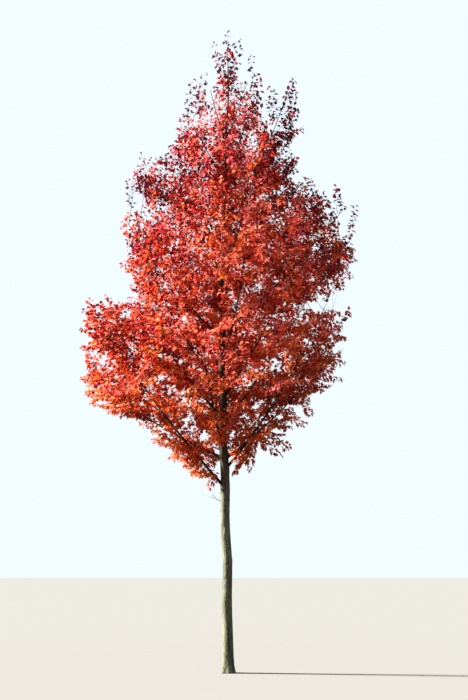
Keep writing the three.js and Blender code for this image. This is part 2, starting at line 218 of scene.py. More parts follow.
# How far the outermost leaves stay inside the crown's reach, as (height, distance)
LEFT_TRIM = (
    (2.5, 0.08), (3.35, 0.08), (3.6, 0.0), (5.12, 0.0), (5.3, 0.26), (5.5, 0.05), (5.7, 0.0), (6.42, 0.0),
    (6.55, 0.45), (6.72, 0.4), (6.9, 0.12), (7.2, 0.0), (7.45, 0.15), (7.9, 0.15), (8.15, 0.0),
)
RIGHT_TRIM = (
    (3.45, 0.0), (3.7, 0.2), (3.9, 0.05), (4.1, 0.0), (4.95, 0.0), (5.08, 0.35), (5.22, 0.25), (5.35, -0.1),
    (5.7, -0.05), (5.9, 0.0), (6.15, 0.2), (6.45, 0.4), (6.85, 0.32), (7.05, 0.06), (7.3, 0.0), (7.6, 0.0),
    (7.75, 0.33), (8.1, 0.08), (8.2, 0.0),
)

# Upright leafy shoots that stand out of the crown's outline: where each tip is, and how long the shoot is
OUTLINE_SHOOTS = (
    (-0.02, 0.05, 9.18, 0.95), (-0.2, -0.1, 8.99, 0.7), (-0.12, 0.2, 8.75, 0.6), (0.16, 0.0, 9.05, 0.75),
    (0.33, -0.12, 8.78, 0.6), (0.24, 0.2, 8.5, 0.5), (0.47, 0.1, 8.57, 0.5), (0.62, -0.1, 8.3, 0.45),
    (-0.35, 0.1, 8.6, 0.6), (-0.54, 0.0, 8.44, 0.5), (-0.45, -0.2, 8.3, 0.45), (-0.68, 0.1, 7.95, 0.3),
    (-0.75, -0.1, 7.38, 0.3), (-1.27, 0.0, 7.3, 0.45), (-1.44, -0.2, 6.85, 0.4), (0.94, -0.05, 8.42, 0.7),
    (0.98, 0.08, 8.22, 0.52), (1.02, 0.1, 8.04, 0.45), (1.23, 0.1, 6.93, 0.45), (1.38, -0.1, 6.68, 0.4),
    (1.58, 0.1, 6.85, 0.5), (1.84, 0.0, 6.52, 0.5), (1.8, 0.1, 5.9, 0.3), (1.8, -0.15, 5.7, 0.25),
    (1.78, 0.1, 5.52, 0.2), (-1.95, -0.2, 5.08, 0.34), (1.74, 0.1, 5.0, 0.3), (1.6, -0.3, 4.2, 0.24),
    (1.58, -0.1, 3.98, 0.05), (1.15, 0.0, 3.5, 0.22), (1.05, -0.25, 3.34, 0.2), (0.85, 0.1, 3.05, 0.2),
    (0.7, -0.15, 2.93, 0.2), (-0.58, -0.05, 2.78, 0.15), (-0.5, 0.08, 2.68, 0.12), (0.1, -0.1, 2.85, 0.1),
    (0.22, 0.05, 3.05, 0.1), (0.15, -0.1, 3.2, 0.15), (0.3, -0.15, 3.15, 0.1), (-0.22, -0.15, 3.2, 0.15),
)

# Parts of the crown that differ in look. Each is one or more spans along an axis: x to the right, y to the
# back, z up, or off the trunk's line. It comes in from none at the start of its spans to full at their end.
CROWN_PARTS = {
    "crest": (("z", 7.75, 8.35), ("off", -0.3, 0.2)),
    "shoulder": (("x", 0.9, 1.2), ("z", 6.2, 6.4)),
    "lower": (("z", 5.6, 4.1),),
    "skirt": (("z", 3.6, 3.2),),
    "low_front": (("z", 4.9, 4.3), ("y", -0.25, -0.55)),
    "left": (("x", 0, -1),),
    "high": (("z", 5.4, 7.2),),
    "right": (("x", 0.4, 1.6), ("z", 5.2, 6.4)),
    "lee": (("x", -0.6, 0.6), ("z", 6.4, 5.2)),
    "inside": (("off", 0.35, 0),),
    "upper_left": (("z", 5.8, 6.6), ("x", 0.6, 0.1)),
    "upper": (("z", 6.5, 7.1),),
    "upper_right": (("z", 6.5, 7.1), ("x", 0.25, 0.65)),
    "bottom": (("z", 4.4, 3.6),),
    "above_skirt": (("z", 3, 4),),
    "lowest_third": (("z", 4.8, 3.4),),
    "thin_top": (("z", 7.6, 8.2),),
    "upper_half": (("z", 4.6, 5.5),),
    "uneven": (("z", 5.4, 6.2),),
    "layers": (("z", 6.6, 4.4),),
    "large_leaves": (("z", 7.8, 8.4),),
    "hanging_leaves": (("z", 7.4, 8.4),),
    "varied": (("x", -0.4, 0.6),),
}
CORE_WIDTH = 0.45
CORE_FRONT = 0.05
BACK_CORE = 0.6
FRONT_HALF_WIDTH = 0.9

# Each bough's inner part, which is kept clear in front: stops along it, and the width and depth kept clear
LINE_STOPS = 24
INNER_STOPS = slice(2, 15)
CLEAR_HALF_WIDTH = 0.06
CLEAR_DEPTH = 0.05

# The tints of the crown: how much each part adds to the shade, as a share of the range from light to dark,
# and to the chance of a cool tint. Much of the added shade is painted light and shade: darker on the left to
# even out the key light that falls there, darker on the shaded right and round the backlit top and edge, and
# lighter in the lee and at the bottom, which the crown shades. The upper parts are darker too. Chance adds
# more by mass, by spray and by shoot.
LIGHTEST = 0.12
DARKEST = 0.999
PAINTED_SHADE_BY_PART = {
    "left": 0.34,
    "high_edge": 0.3,
    "right": 0.18,
    "lee": -0.36,
    "upper_left": 0.1,
    "upper": 0.06,
    "upper_right": 0.24,
    "top": 0.4,
    "bottom": -0.5,
}
COOLER = {"above_skirt": 0.08, "high": 0.34, "high_edge": 0.6, "right": 0.3}
EDGE_SPAN = (0.5, 1.0)
PAINTED_DARK_TOP = (7.9, 8.5)
TOP_HEART = 0.5
MASS_SHADE = 0.08
SPRAY_SHADE = 0.1
SHOOT_SHADE = 0.2
ORANGE_SHARE = 0.2
HIGH_ORANGE = -0.1
LOW_ORANGE = 0.5
LEAF_SHADES = 2.1
MORE_LEAF_SHADES = 0.6

# How leaves sit on their shoots, in opposite pairs. A range is the least and the greatest value by chance.
LEAF_SEED = 7
THIN_TOP = 0.9
THIN_UPPER = 0.4
UNEVEN = 0.2
UNEVEN_WIDTH = 0.6
BACK_SPACING = 0.85
MOST_LAYERED = 0.85
TURN_SPREAD = 0.3
PAIR_ANGLE = 0.95
END_ANGLE = 0.3
ANGLE_SPREAD = 0.18
STALK_LIFT = 0.1
STALK_SAG = 0.15
YOUNG_FROM = 0.8
YOUNG_SIZE = 0.82
LARGER = 0.12
SIZE_RANGE = (0.72, 1.12)
STALK_RANGE = (0.7, 1.2)
HANG_RANGE = (0.4, 1.5)
STALK_PULL = 0.75
AXIS_SPREAD = 0.28
FACING_OUT = 0.25
FACING_SPREAD = 0.5
LEAF_MARGIN = 0.06
SPIRE_SHOOT_X = 0.81
SPIRE_LEAF_X = 0.74
SPIRE_FROM = 7

# One leaf's outline on the right of its midrib, as (across, along): basal lobe, notch, side lobe, notch
HALF_LEAF = ((0.34, 0.06), (0.26, 0.29), (0.5, 0.62), (0.19, 0.58))
LEAF_HEART = (0.0, 0.34)
BLADE_SEED = 11
FOLD_RANGE = (0.1, 0.7)
CURL_RANGE = (-0.1, 0.35)
WIDTH_RANGE = (0.82, 1.06)
HIGH_FOLD = 0.3
HIGH_NARROWING = 0.1
HALF_STALK = 0.0011
PIECE_TRIANGLES = 195000
TIER_SHARE = 0.6

# Bark: old scars on the trunk, collars where boughs leave it, swells, cracks and roughness
GOLDEN_TURN = math.radians(137.5)
KNOT_HEIGHTS = (0.31, 0.52, 0.86, 1.03, 1.27, 1.49, 1.71, 1.9, 2.12, 2.31, 2.43)
KNOT_TURN = 0.6
KNOT_SIZE = (1, 0.5)
KNOT_WIDTH = 0.02
KNOT_LENGTH = 0.028
KNOT_REACH = 0.12
DIMPLE = 0.55
DIMPLE_SHARPNESS = 6
COLLAR_REACH = 0.2
COLLAR = 0.55
COLLAR_RISE = 0.3
COLLAR_LENGTH = 2.6
COLLAR_WIDTH = 0.75
BARK_CRACKS = ((4.5, 9, 0, 0.16, 1), (8, 17, 40, 0.2, 0.7))  # pitch round and up, offset, width, depth
HIGH_CRACKS = 0.5
FOOT_CRACKS = 0.8  # height in which the deeper cracks at the foot fade
SWELL = 0.0025
SWELL_PITCH = (1.9, 2.7)
ROUGHNESS = 0.4
ROUGHNESS_PITCH = (4, 75)
LEADER_THINNING = 0.35
THINNED_SPAN = (6.4, 7.8)
LEADER_TIP = 0.6
HIGH_RINGS = 5  # ring spacings to a ring above the fork

# Boughs, twigs and shoots as wood
BOUGH_SIDES = 14
BOUGH_RING_STEP = 0.03
FEWEST_RINGS = 24
RING_CROWDING = 1.15
BOUGH_TIP = 0.0035
LIMB_TAPER = 0.72
BOUGH_COLLAR = 0.45
BOUGH_COLLAR_LENGTH = 0.045
LUMP_PITCH = 14
LUMPS = (((1.3, 1.3, 1.3), 0.05), ((4, 4, 1), 0.035))  # pitch on each axis, and height
# Painted shade: the boughs' bark is a darker copy of the trunk's, and the twigs' darker still, for the shade
# inside the crown
BOUGH_PAINTED_SHADE = 0.3
BOUGH_BLOOM = 0.5
BOUGH_DEEP = 0.6
BOUGH_GRAIN = 1.6
TWIG_PAINTED_SHADE = 0.25
TWIG_BLOOM = 2
FINE_BARK = 3.0
NEARLY_ALONG = 0.9
SEAM = 1e-5
TWIG_RADII = (0.0042, 0.0018)
TWIG_POINTS = 7
TWIG_SIDES = 5
SHOOT_RADII = (0.0016, 0.0008)
SHOOT_POINTS = 4
SHOOT_SIDES = 3
ROOT_STEP = 0.02  # how closely the last shoot is looked for along a bough or twig
ROOT_NEAR = 0.6 * ROOT_STEP

# The dead twig: its height on the trunk, and its line and side twig as (out to the left, up)
DEAD_TWIG_HEIGHT = 2.31
DEAD_TWIG_LINE = ((0, 0), (0.03, 0.008), (0.06, 0.022), (0.09, 0.046), (0.115, 0.08), (0.135, 0.125))
DEAD_TWIG_SIDE = ((0, 0), (0.014, -0.002), (0.03, -0.001), (0.045, 0.004), (0.058, 0.012), (0.068, 0.022))
DEAD_TWIG_RADII = (0.0055, 0.002)
DEAD_SIDE_RADII = (0.0026, 0.0012)
DEAD_TWIG_BACK = 0.1
DEAD_SIDE_BACK = -0.2
DEAD_SIDE_FROM = 3
DEAD_TWIG_SIDES = 8

# The bark's patterns: scale, upright stretch, detail and roughness of each noise, and where its ramp starts
# and ends. For the gloss, the last two are the least and greatest roughness of the bark.
BARK_PATTERNS = {
    "patches": (7, 0.45, 6, 0.6, 0.36, 0.66),
    "cracks": (60, 0.12, 8, 0.7, 0.36, 0.47),
    "pores": (70, 3.4, 2, 0.5, 0.66, 0.71),
    "streaks": (22, 0.13, 4, 0.6, 0.5, 0.68),
    "depth": (3, 1, 6, 0.6, 0.3, 0.7),
    "bloom": (2, 1, 6, 0.6, 0.3, 0.7),
    "gloss": (24, 0.5, 6, 0.6, 0.62, 0.92),
    "grain": (220, 0.6, 3, 0.6, 0, 1),
}
NONE = (0, 0, 0)
FULL = (1, 1, 1)
STREAKED = (0.75, 0.75, 0.75)
# Painted shade: from 2.3 m up to 3.1 m the bark of trunk, boughs and twigs darkens towards its crack colour,
# for the crown's shadow
PAINTED_CROWN_SHADE_SPAN = (2.3, 3.1)
PAINTED_CROWN_SHADE = 0.8
DEEP_GAIN = 1.5
BLOOM_GAIN = 1.25
BARK_SHEEN = 0.3
CRACK_BUMP = {"Strength": 0.55, "Distance": 0.0025}
GRAIN_BUMP = {"Strength": 0.35, "Distance": 0.001}

# The leaf material: its gloss, and how much light comes through and with what gain on each colour
LEAF_ROUGHNESS = 0.43
LEAF_SHEEN = 0.6
LIT_GAIN = (1.35, 1.1, 1)
THROUGH_SHARE = 0.54

# Where the photograph was taken from, and the light and backdrop
EYE_HEIGHT = 1.6
EYE_DISTANCE = 16.1
LENS = 59.14
SENSOR = 36
SUN_WIDTH = 5
SUN_COLOUR = (1.0, 0.96, 0.88)
SKY_COLOUR = (0.86, 0.93, 1.0, 1)
BACKDROP_COLOUR = (0.84, 0.93, 0.99, 1)
FLOOR_COLOUR = (0.19, 0.19, 0.187, 1)
FLOOR_BOUNCE = (0.08, 0.08, 0.08, 1)
FLOOR_HALF = 60

UP = Vector((0, 0, 1))
UP_ROW = np.array((0.0, 0.0, 1.0))
LEAST_LENGTH = 1e-9  # what a vector of no length is divided by


def lerp(a, b, share):
    return a + (b - a) * share


def smoothstep(value, low, high):
    share = min(1.0, max(0.0, (value - low) / (high - low)))
    return share * share * (3 - 2 * share)


def chance(key):
    """A repeatable number from 0 to 1 for each key. Adding to a key or scaling it tells its draws apart."""
    pitch, shift, height = WAVE
    wave = math.sin(key * pitch + shift) * height
    return wave - math.floor(wave)


def wander(key):
    return 2 * chance(key) - 1


def chances(keys):
    return np.array([chance(key) for key in keys])


def wanders(keys):
    return 2 * chances(keys) - 1


def around(pair, key):
    """A middle value, taken either way by chance."""
    middle, most = pair
    return middle + most * wander(key)


def at_least(pair, key):
    """A least value, and what chance adds to it."""
    least, more = pair
    return least + more * chance(key)


def grade(value, start, end):
    """How far a value, or each of an array, has come along a span, from 0 at its start to 1 at its end."""
    return np.clip((value - start) / (end - start), 0, 1)


def in_part(name, points):
    """How far points are in a named part of the crown, from 0 to 1."""
    x, y, z = points.T
    axes = {"x": x, "y": y, "z": z, "off": np.hypot(x, y)}
    return np.prod([grade(axes[axis], start, end) for axis, start, end in CROWN_PARTS[name]], axis=0)


def crown_reach(azimuth, height):
    """How far the crown reaches from the trunk's line in a direction, at a height. Takes arrays too."""
    right = (1 + np.cos(azimuth)) / 2
    left_reach = np.interp(height, LEFT_HEIGHTS, LEFT_REACHES)
    return lerp(left_reach, np.interp(height, RIGHT_HEIGHTS, RIGHT_REACHES), right)


def spray_size(height):
    return lerp(1, SMALL_SIZE, smoothstep(height, SMALL_FROM, SMALL_AT))


def trunk_point(height):
    lean = -BOW * math.sin(math.pi * height / HEIGHT) ** 2
    bend = KINK * min(1, height / KINK_LENGTH)
    x = lean + bend * math.sin(2 * math.pi * height / KINK_LENGTH)
    return Vector((x, bend * math.cos(2 * math.pi * height / KINK_LENGTH_Y), height))


def trunk_radius(height):
    if height < FORK_HEIGHT:
        return lerp(FOOT_RADIUS, FORK_RADIUS, height / FORK_HEIGHT) + FLARE * math.exp(-height / FLARE_HEIGHT)
    left = max(0.0, 1 - (height - FORK_HEIGHT) / (HEIGHT - FORK_HEIGHT))
    collar = (FORK_RADIUS - CROWN_RADIUS) * math.exp((FORK_HEIGHT - height) / COLLAR_HEIGHT)
    return TIP_RADIUS + (CROWN_RADIUS - TIP_RADIUS) * left**TRUNK_TAPER + collar


def heading_at(point_at, share):
    """The direction in which a limb runs at a share of its length."""
    return (point_at(min(1, share + HEADING_SPAN)) - point_at(max(0, share - HEADING_SPAN))).normalized()


def side_direction(ahead, angle, turn):
    """The direction at an angle from a limb's own, on the side given by a turn about it."""
    across = ahead.cross(UP).normalized()
    off = across * math.cos(turn) + across.cross(ahead) * math.sin(turn)
    return (ahead * math.cos(angle) + off * math.sin(angle)).normalized()


def springing(number):
    """Where the bough with this number starts, which way it heads and how steeply it climbs."""
    if number < len(LOWEST):
        return LOWEST[number]
    pair = (number - len(LOWEST)) // 2
    second = number % 2
    up = (pair / (PAIRS - 1)) ** PAIR_CROWDING
    foot = lerp(FIRST_PAIR_HEIGHT, LAST_PAIR_HEIGHT, up) + second * STAGGER
    azimuth = FIRST_AZIMUTH + pair * PAIR_TURN + second * 180 + AZIMUTH_WANDER * wander(number + 0.3)
    climb = lerp(LOW_CLIMB, HIGH_CLIMB, up**CLIMB_RISE) + CLIMB_WANDER * wander(number + 0.6)
    return foot, azimuth, climb


def settled_reach(foot, azimuth, climb):
    """How far out a bough runs until the spray at its tip meets the crown's edge."""
    reach = crown_reach(azimuth, foot)
    for _ in range(REACH_ROUNDS):
        height = foot + reach * math.tan(climb)
        room = TIP_ROOM * SPRAY_LENGTH * spray_size(height)
        edge = crown_reach(azimuth, min(HEIGHT - room, height + room)) - room * math.cos(climb)
        reach = lerp(reach, max(SHORTEST_REACH, edge), REACH_STEP)
    return reach


class Limb(NamedTuple):
    """A bent line: point_at takes a share of its length. A bough also has a heading and a radius."""

    name: str
    number: int
    length: float
    point_at: Callable
    foot: float
    entry: float = 0.0  # the share at which a bough enters its mass of leaves
    first_share: float = 0.0  # the share from which a stem may carry twigs
    heading: float = 0.0
    radius_at: Callable = None


def chain_of(point_at, steps):
    return [point_at(i / steps) for i in range(steps + 1)]


def grow_bough(number):
    """A bough is a bent line from the trunk's core towards the crown's edge."""
    foot, azimuth, climb = springing(number)
    is_spire = number == SPIRE["number"]
    heading = math.radians(SPIRE["azimuth"] if is_spire else azimuth)
    climb = math.radians(climb)
    reach = SPIRE["reach"] if is_spire else settled_reach(foot, heading, climb)
    rise = SPIRE["top"] - foot if is_spire else reach * math.tan(climb)
    start = trunk_point(foot)
    out = Vector((math.cos(heading), math.sin(heading), 0))
    swerve = SWERVE * reach * wander(number + 0.8)
    knee = start + out * KNEE_OUT * reach + Vector((-out.y * swerve, out.x * swerve, KNEE_UP * rise))
    tip = start + out * reach + UP * rise

    def point_at(share):
        return start * (1 - share) ** 2 + knee * 2 * share * (1 - share) + tip * share**2

    def radius_at(share):
        return max(THINNEST, foot_radius * (1 - BOUGH_TAPER * share))

    foot_radius = max(THINNEST_FOOT, FOOT_SHARE * trunk_radius(foot))
    bare = lerp(BARE_LOW, BARE_HIGH, (foot - FORK_HEIGHT) / (BOUGHS_UP_TO - FORK_HEIGHT))
    entry = bare if foot < BOUGHS_UP_TO else 0.0
    points = chain_of(point_at, LENGTH_STEPS)
    length = sum((b - a).length for a, b in zip(points, points[1:]))
    name = f"bough_{number:02d}"
    return Limb(name, number, length, point_at, foot, entry, heading=heading, radius_at=radius_at)


def grow_stem(bough):
    """The stem that carries a bough on through its mass of leaves."""
    return Limb(
        f"foliage_{bough.number:02d}",
        bough.number,
        bough.length * (1 - bough.entry),
        lambda share: bough.point_at(lerp(bough.entry, 1, share)),
        bough.foot,
        first_share=0.0 if bough.entry else trunk_radius(bough.foot) / bough.length,
    )


def grow_leader(number):
    """The stem that carries the leader on from the end of the trunk to the top of the tree."""
    top = HEIGHT - LEADER_ROOM
    return Limb(
        "foliage_leader",
        number,
        top - TRUNK_TOP,
        lambda share: trunk_point(lerp(TRUNK_TOP, top, share)),
        TRUNK_TOP,
    )


class Spaces:
    """The space that each mass keeps to: in the crown, nearest to its own stem and clear of every limb."""

    def __init__(self, stems, boughs):
        self.stems = {stem.number: self.pieces(chain_of(stem.point_at, STEM_STEPS)) for stem in stems}
        starts = np.concatenate([a for a, _ in self.stems.values()])
        runs = np.concatenate([run for _, run in self.stems.values()])
        self.all_stems = (starts, runs)
        self.owners = np.repeat(list(self.stems), STEM_STEPS)
        self.trunk = self.pieces(chain_of(lambda share: trunk_point(share * TRUNK_TOP), TRUNK_STEPS))
        feet = [chain_of(lambda s, b=b: b.point_at(s * b.entry), ENTRY_STEPS) for b in boughs if b.entry]
        self.boughs = tuple(np.concatenate(part) for part in zip(*map(self.pieces, feet)))

    @staticmethod
    def pieces(chain):
        points = np.array(chain)
        return points[:-1], points[1:] - points[:-1]

    @staticmethod
    def distances(pieces, point):
        starts, runs = pieces
        offset = np.array(point) - starts
        share = np.clip((offset * runs).sum(1) / (runs * runs).sum(1), 0, 1)
        return np.linalg.norm(offset - runs * share[:, None], axis=1)

    def is_in_crown(self, number, point):
        if point.z > HEIGHT:
            return False
        if number == SPIRE["number"] and self.distances(self.stems[number], point).min() < SPIRE["width"]:
            return True
        middle = trunk_point(point.z)
        x, y = point.x - middle.x, point.y - middle.y
        return math.hypot(x, y) < crown_reach(math.atan2(y, x), point.z) + EDGE_MARGIN

    def holds(self, number, point):
        if not self.is_in_crown(number, point):
            return False
        if self.distances(self.trunk, point).min() < trunk_radius(point.z) + TRUNK_MARGIN:
            return False
        if self.distances(self.boughs, point).min() < BOUGH_MARGIN:
            return False
        reach = self.distances(self.all_stems, point)
        mine = self.owners == number
        return reach[mine].min() + SPACE_MARGIN < reach[~mine].min()

    def room_along(self, number, root, direction, wanted):
        """How far a straight twig can run before the spray at its tip would leave the mass's space."""
        ahead = STRIDE + TWIG_ROOM * SPRAY_LENGTH * spray_size(root.z)
        length = 0.0
        while length < wanted and self.holds(number, root + direction * (length + ahead)):
            length += STRIDE
        return length


class Twig(NamedTuple):
    """A first-order twig from a stem, which lifts a little towards its tip."""

    stem: Limb
    root: Vector
    direction: Vector
    length: float
    key: float

    def point_at(self, share):
        return self.root + (self.direction * share + UP * TWIG_LIFT * share * share) * self.length


def grow_twigs(stem, spaces):
    """Opposite pairs of twigs along a stem, each pair of the solids turned a quarter from the last."""
    spacing = NODE_SPACING * spray_size(stem.point_at(0.5).z)
    nodes = max(2, math.floor(stem.length / spacing + 0.5))
    twigs = []
    for half_node in range(FINER * nodes):
        node = half_node / FINER
        share = max(stem.first_share, (node + FIRST_NODE) / nodes)
        if share > LAST_NODE:
            continue
        quarter = node * math.pi / 2 + NODE_WANDER * wander(stem.number * 31 + node)
        for way in (0, 1):
            key = stem.number * 101 + node * 7 + way
            root = stem.point_at(share)
            angle = math.radians(TWIG_ANGLE + TWIG_ANGLE_WANDER * wander(key + 0.4))
            direction = side_direction(heading_at(stem.point_at, share), angle, quarter + way * math.pi)
            direction.z -= TWIG_SAG * (1 - smoothstep(root.z, SAG_FROM, SAG_TO))
            direction.normalize()
            spread = 1 + TWIG_LENGTH_WANDER * wander(key + 0.9)
            wanted = (TWIG_SHARE * (1 - share) * stem.length + TWIG_EXTRA) * spread
            length = spaces.room_along(stem.number, root, direction, wanted)
            twigs.append(Twig(stem, root, direction, length, key))
    return twigs


@functools.cache
def grown_tree():
    """The boughs, the stems of the masses and their twigs, by the rule of the part's solids."""
    boughs = [grow_bough(number) for number in range(len(LOWEST) + 2 * PAIRS)]
    stems = [grow_stem(bough) for bough in boughs] + [grow_leader(LEADER_KEY)]
    spaces = Spaces(stems, boughs)
    twigs = [twig for stem in stems for twig in grow_twigs(stem, spaces)]
    return boughs, stems, twigs


class Shoots:
    """Leafy shoots as arrays: the finest wood, which carries the leaves."""

    def __init__(self):
        self.rows = []

    def add(self, stem, root, direction, length, turn, key):
        self.rows.append((*root, *direction, length, turn, stem.number, key))

    def arrays(self):
        rows = np.array(self.rows)
        return rows[:, 0:3], rows[:, 3:6], rows[:, 6], rows[:, 7], rows[:, 8].astype(int), rows[:, 9]


def shoots_along(shoots, stem, point_at, length, first, key, sizes):
    """Opposite pairs of shoots back along an axis from the one at its tip, shorter near the tip."""
    size = spray_size(point_at(0.5).z)
    longest = sizes.shoot_length * size
    tip_length = sizes.tip_shoot_length * size * around(TIP_SHOOT_GROWTH, key + 5.1)
    shoots.add(stem, point_at(1), heading_at(point_at, 1), tip_length, math.pi * chance(key + 5.2), key)
    spacing = sizes.shoot_spacing * lerp(1, size, SPACING_SHRINK)
    turn = math.pi * chance(key + 5.3)
    back = FIRST_SHOOT * spacing
    step = 0
    while back < length - first:
        share = 1 - back / length
        root = point_at(share)
        grown = min(1.0, YOUNGEST + LENGTH_GAIN * back / max(SHORTEST_RUN, longest * 2))
        for way in (0, 1):
            shoot_key = key + KEY_STEP * step + KEY_WAY * way
            angle = math.radians(around(SHOOT_ANGLE, shoot_key + 6.1))
            side = turn + way * math.pi + SHOOT_TURN * wander(shoot_key + 6.2)
            direction = side_direction(heading_at(point_at, share), angle, side)
            slope = lerp(sizes.flatness, 1, smoothstep(root.z, *LAYERED))
            direction.z = direction.z * slope + sizes.shoot_lift
            direction.normalize()
            shoot_length = longest * grown * around(SHOOT_GROWTH, shoot_key + 6.3)
            shoots.add(stem, root, direction, shoot_length, math.pi * chance(shoot_key + 6.4), shoot_key)
        turn += math.pi / 2
        back += spacing * around(SHOOT_SPREAD, key + step + 6.6)
        step += 1


def grow_shoots(sizes):
    """All the shoots, before those that leave the crown or crowd its open parts are dropped."""
    boughs, stems, twigs = grown_tree()
    shoots = Shoots()
    add_low_shoots(shoots, boughs, stems, sizes.low_shoots)
    add_outline_shoots(shoots, stems, twigs)
    add_trunk_shoots(shoots, stems, sizes.trunk_shoots)
    for stem in stems:
        first = max(stem.first_share, sizes.bare_stem) * stem.length
        key = STEM_KEY + stem.number * STEM_KEY_STEP
        shoots_along(shoots, stem, stem.point_at, stem.length, first, key, sizes)
    for twig in twigs:
        if twig.length >= SHORTEST_TWIG:
            first = sizes.bare_twig * twig.length
            shoots_along(shoots, twig.stem, twig.point_at, twig.length, first, TWIG_KEY + twig.key, sizes)
        else:
            length = sizes.tip_shoot_length * spray_size(twig.root.z)
            turn = math.pi * chance(twig.key + 8.1)
            shoots.add(twig.stem, twig.root, twig.direction, length, turn, twig.key)
    add_filling_shoots(shoots, stems, twigs, sizes)
    return shoots


def add_outline_shoots(shoots, stems, twigs):
    """Join each upright outline shoot to the nearest wood below its tip."""
    axes = [(stem, stem.point_at) for stem in stems]
    axes += [(twig.stem, twig.point_at) for twig in twigs if twig.length >= SHORTEST_TWIG]
    wood = [(stem, point) for stem, point_at in axes for point in chain_of(point_at, AXIS_STOPS)]
    for number, (x, y, top, length) in enumerate(OUTLINE_SHOOTS):
        tip = Vector((x, y, top))
        low = tip - UP * length
        stem, root = min(wood, key=lambda row: (row[1] - low).length)
        run = tip - root
        shoots.add(stem, root, run.normalized(), run.length, chance(number + 9.3), PLACED_KEY + number)


def tree_of(points):
    """A search tree of points."""
    tree = kdtree.KDTree(len(points))
    for index, point in enumerate(points):
        tree.insert(point, index)
    tree.balance()
    return tree


def add_filling_shoots(shoots, stems, twigs, sizes):
    """Grow a shoot into each gap in the crown, from the nearest wood."""
    wood = [(stem, point) for stem in stems for point in chain_of(stem.point_at, STEM_STOPS)[1:]]
    long_twigs = [twig for twig in twigs if twig.length]
    wood += [(twig.stem, point) for twig in long_twigs for point in chain_of(twig.point_at, TWIG_STOPS)[1:]]
    wood_points = tree_of([point for _, point in wood])
    rows = [(Vector(row[0:3]), Vector(row[3:6]) * row[6]) for row in shoots.rows]
    leafy = tree_of([root + run * share for root, run in rows for share in (0.5, 1)])
    places = np.random.default_rng(GAP_SEED).uniform(*GAP_BOX, (sizes.gap_tries, 3))
    added = []
    for number, place in enumerate(places[in_crown(places, GAP_MARGIN)]):
        tip = Vector(place)
        gap = sizes.widest_gap * (sizes.back_gap if tip.y > BACK_FROM else 1)
        gap *= 1 - HIGH_GAPS * smoothstep(tip.z, *HIGH_GAPS_SPAN)
        if leafy.find(tip)[2] < gap or any((tip - other).length < gap for other in added):
            continue
        root, index, far = wood_points.find(tip - UP * GAP_DROP)
        room = TRUNK_ROOM if tip.y < BACK_WAY else BACK_TRUNK_ROOM
        if far > GAP_REACH or (tip - trunk_point(tip.z)).length < room:
            continue
        run = tip - root
        key = FILLING_KEY + FILLING_KEY_STEP * number
        shoots.add(wood[index][0], root, run.normalized(), run.length, chance(number + 11.2), key)
        added.append(tip)


def add_trunk_shoots(shoots, stems, count):
    """Small shoots from the trunk inside the crown, which half hide it. There are fewer low down."""
    feet = np.array([stem.foot for stem in stems])
    lowest, span = TRUNK_SHOOT_HEIGHT
    for number in range(count):
        height = lowest + span * chance(number + 13.1) ** TRUNK_SHOOT_CROWDING
        azimuth = 2 * math.pi * chance(number + 13.2)
        climb = math.radians(around(TRUNK_SHOOT_CLIMB, number + 13.3))
        out = Vector((math.cos(azimuth), math.sin(azimuth), 0))
        direction = out * math.cos(climb) + UP * math.sin(climb)
        root = trunk_point(height) + out * SHOOT_SINK * trunk_radius(height)
        stem = stems[int(np.abs(feet - height).argmin())]
        length = at_least(TRUNK_SHOOT_LENGTH, number + 13.4) * spray_size(height)
        if out.y > BACK_WAY:
            length *= 1 + BACK_EXTRA * smoothstep(height, *BACK_EXTRA_SPAN)
        shoots.add(stem, root, direction, length, chance(number + 13.5), TRUNK_SHOOT_KEY + number)


def add_low_shoots(shoots, boughs, stems, count):
    """Small shoots that hang from the feet of the lowest boughs, with more of them from the very lowest."""
    for number in range(count):
        bough = boughs[0 if number % 3 == 1 else number % LOW_BOUGHS]
        share = at_least(LOW_SHOOT_SHARE, number + 10.1)
        angle = math.radians(around(LOW_SHOOT_ANGLE, number + 10.2))
        turn = 2 * math.pi * chance(number + 10.3)
        direction = side_direction(heading_at(bough.point_at, share), angle, turn)
        direction.z -= LOW_SHOOT_DROP
        direction.normalize()
        length = at_least(LOW_SHOOT_LENGTH, number + 10.4)
        key = LOW_SHOOT_KEY + number
        shoots.add(stems[bough.number], bough.point_at(share), direction, length, chance(number + 10.5), key)


def in_crown(points, margin):
    """Which points lie inside the crown's edge, as a mask. Nearer parts show larger in the photograph."""
    nearer = np.maximum(1, EYE_DISTANCE / (EYE_DISTANCE + points[:, 1]))
    heights = np.clip(EYE_HEIGHT + (points[:, 2] - EYE_HEIGHT) * nearer, 0, HEIGHT)
    lean = -BOW * np.sin(math.pi * heights / HEIGHT) ** 2
    x, y = points[:, 0] * nearer - lean, points[:, 1]
    azimuth = np.arctan2(y, x)
    left_trim = np.interp(heights, *zip(*LEFT_TRIM))
    right_trim = np.interp(heights, *zip(*RIGHT_TRIM))
    reach = crown_reach(azimuth, heights) - lerp(left_trim, right_trim, (1 + np.cos(azimuth)) / 2)
    return (np.hypot(x, y) < reach + margin) & (points[:, 2] < HEIGHT)


def normalized(vectors):
    return vectors / np.maximum(np.linalg.norm(vectors, axis=-1, keepdims=True), LEAST_LENGTH)


def side_directions(ahead, angle, turn):
    """side_direction for arrays."""
    across = normalized(np.cross(ahead, (0, 0, 1)))
    above = np.cross(across, ahead)
    off = across * np.cos(turn)[:, None] + above * np.sin(turn)[:, None]
    return normalized(ahead * np.cos(angle)[:, None] + off * np.sin(angle)[:, None])


def add_object(name, data):
    """A new object in the scene."""
    added = bpy.data.objects.new(name, data)
    bpy.context.scene.collection.objects.link(added)
    return added


def mesh_of(bm, name):
    """The mesh that a bmesh has made. The bmesh is freed."""
    mesh = bpy.data.meshes.new(name)
    bm.to_mesh(mesh)
    bm.free()
    return mesh


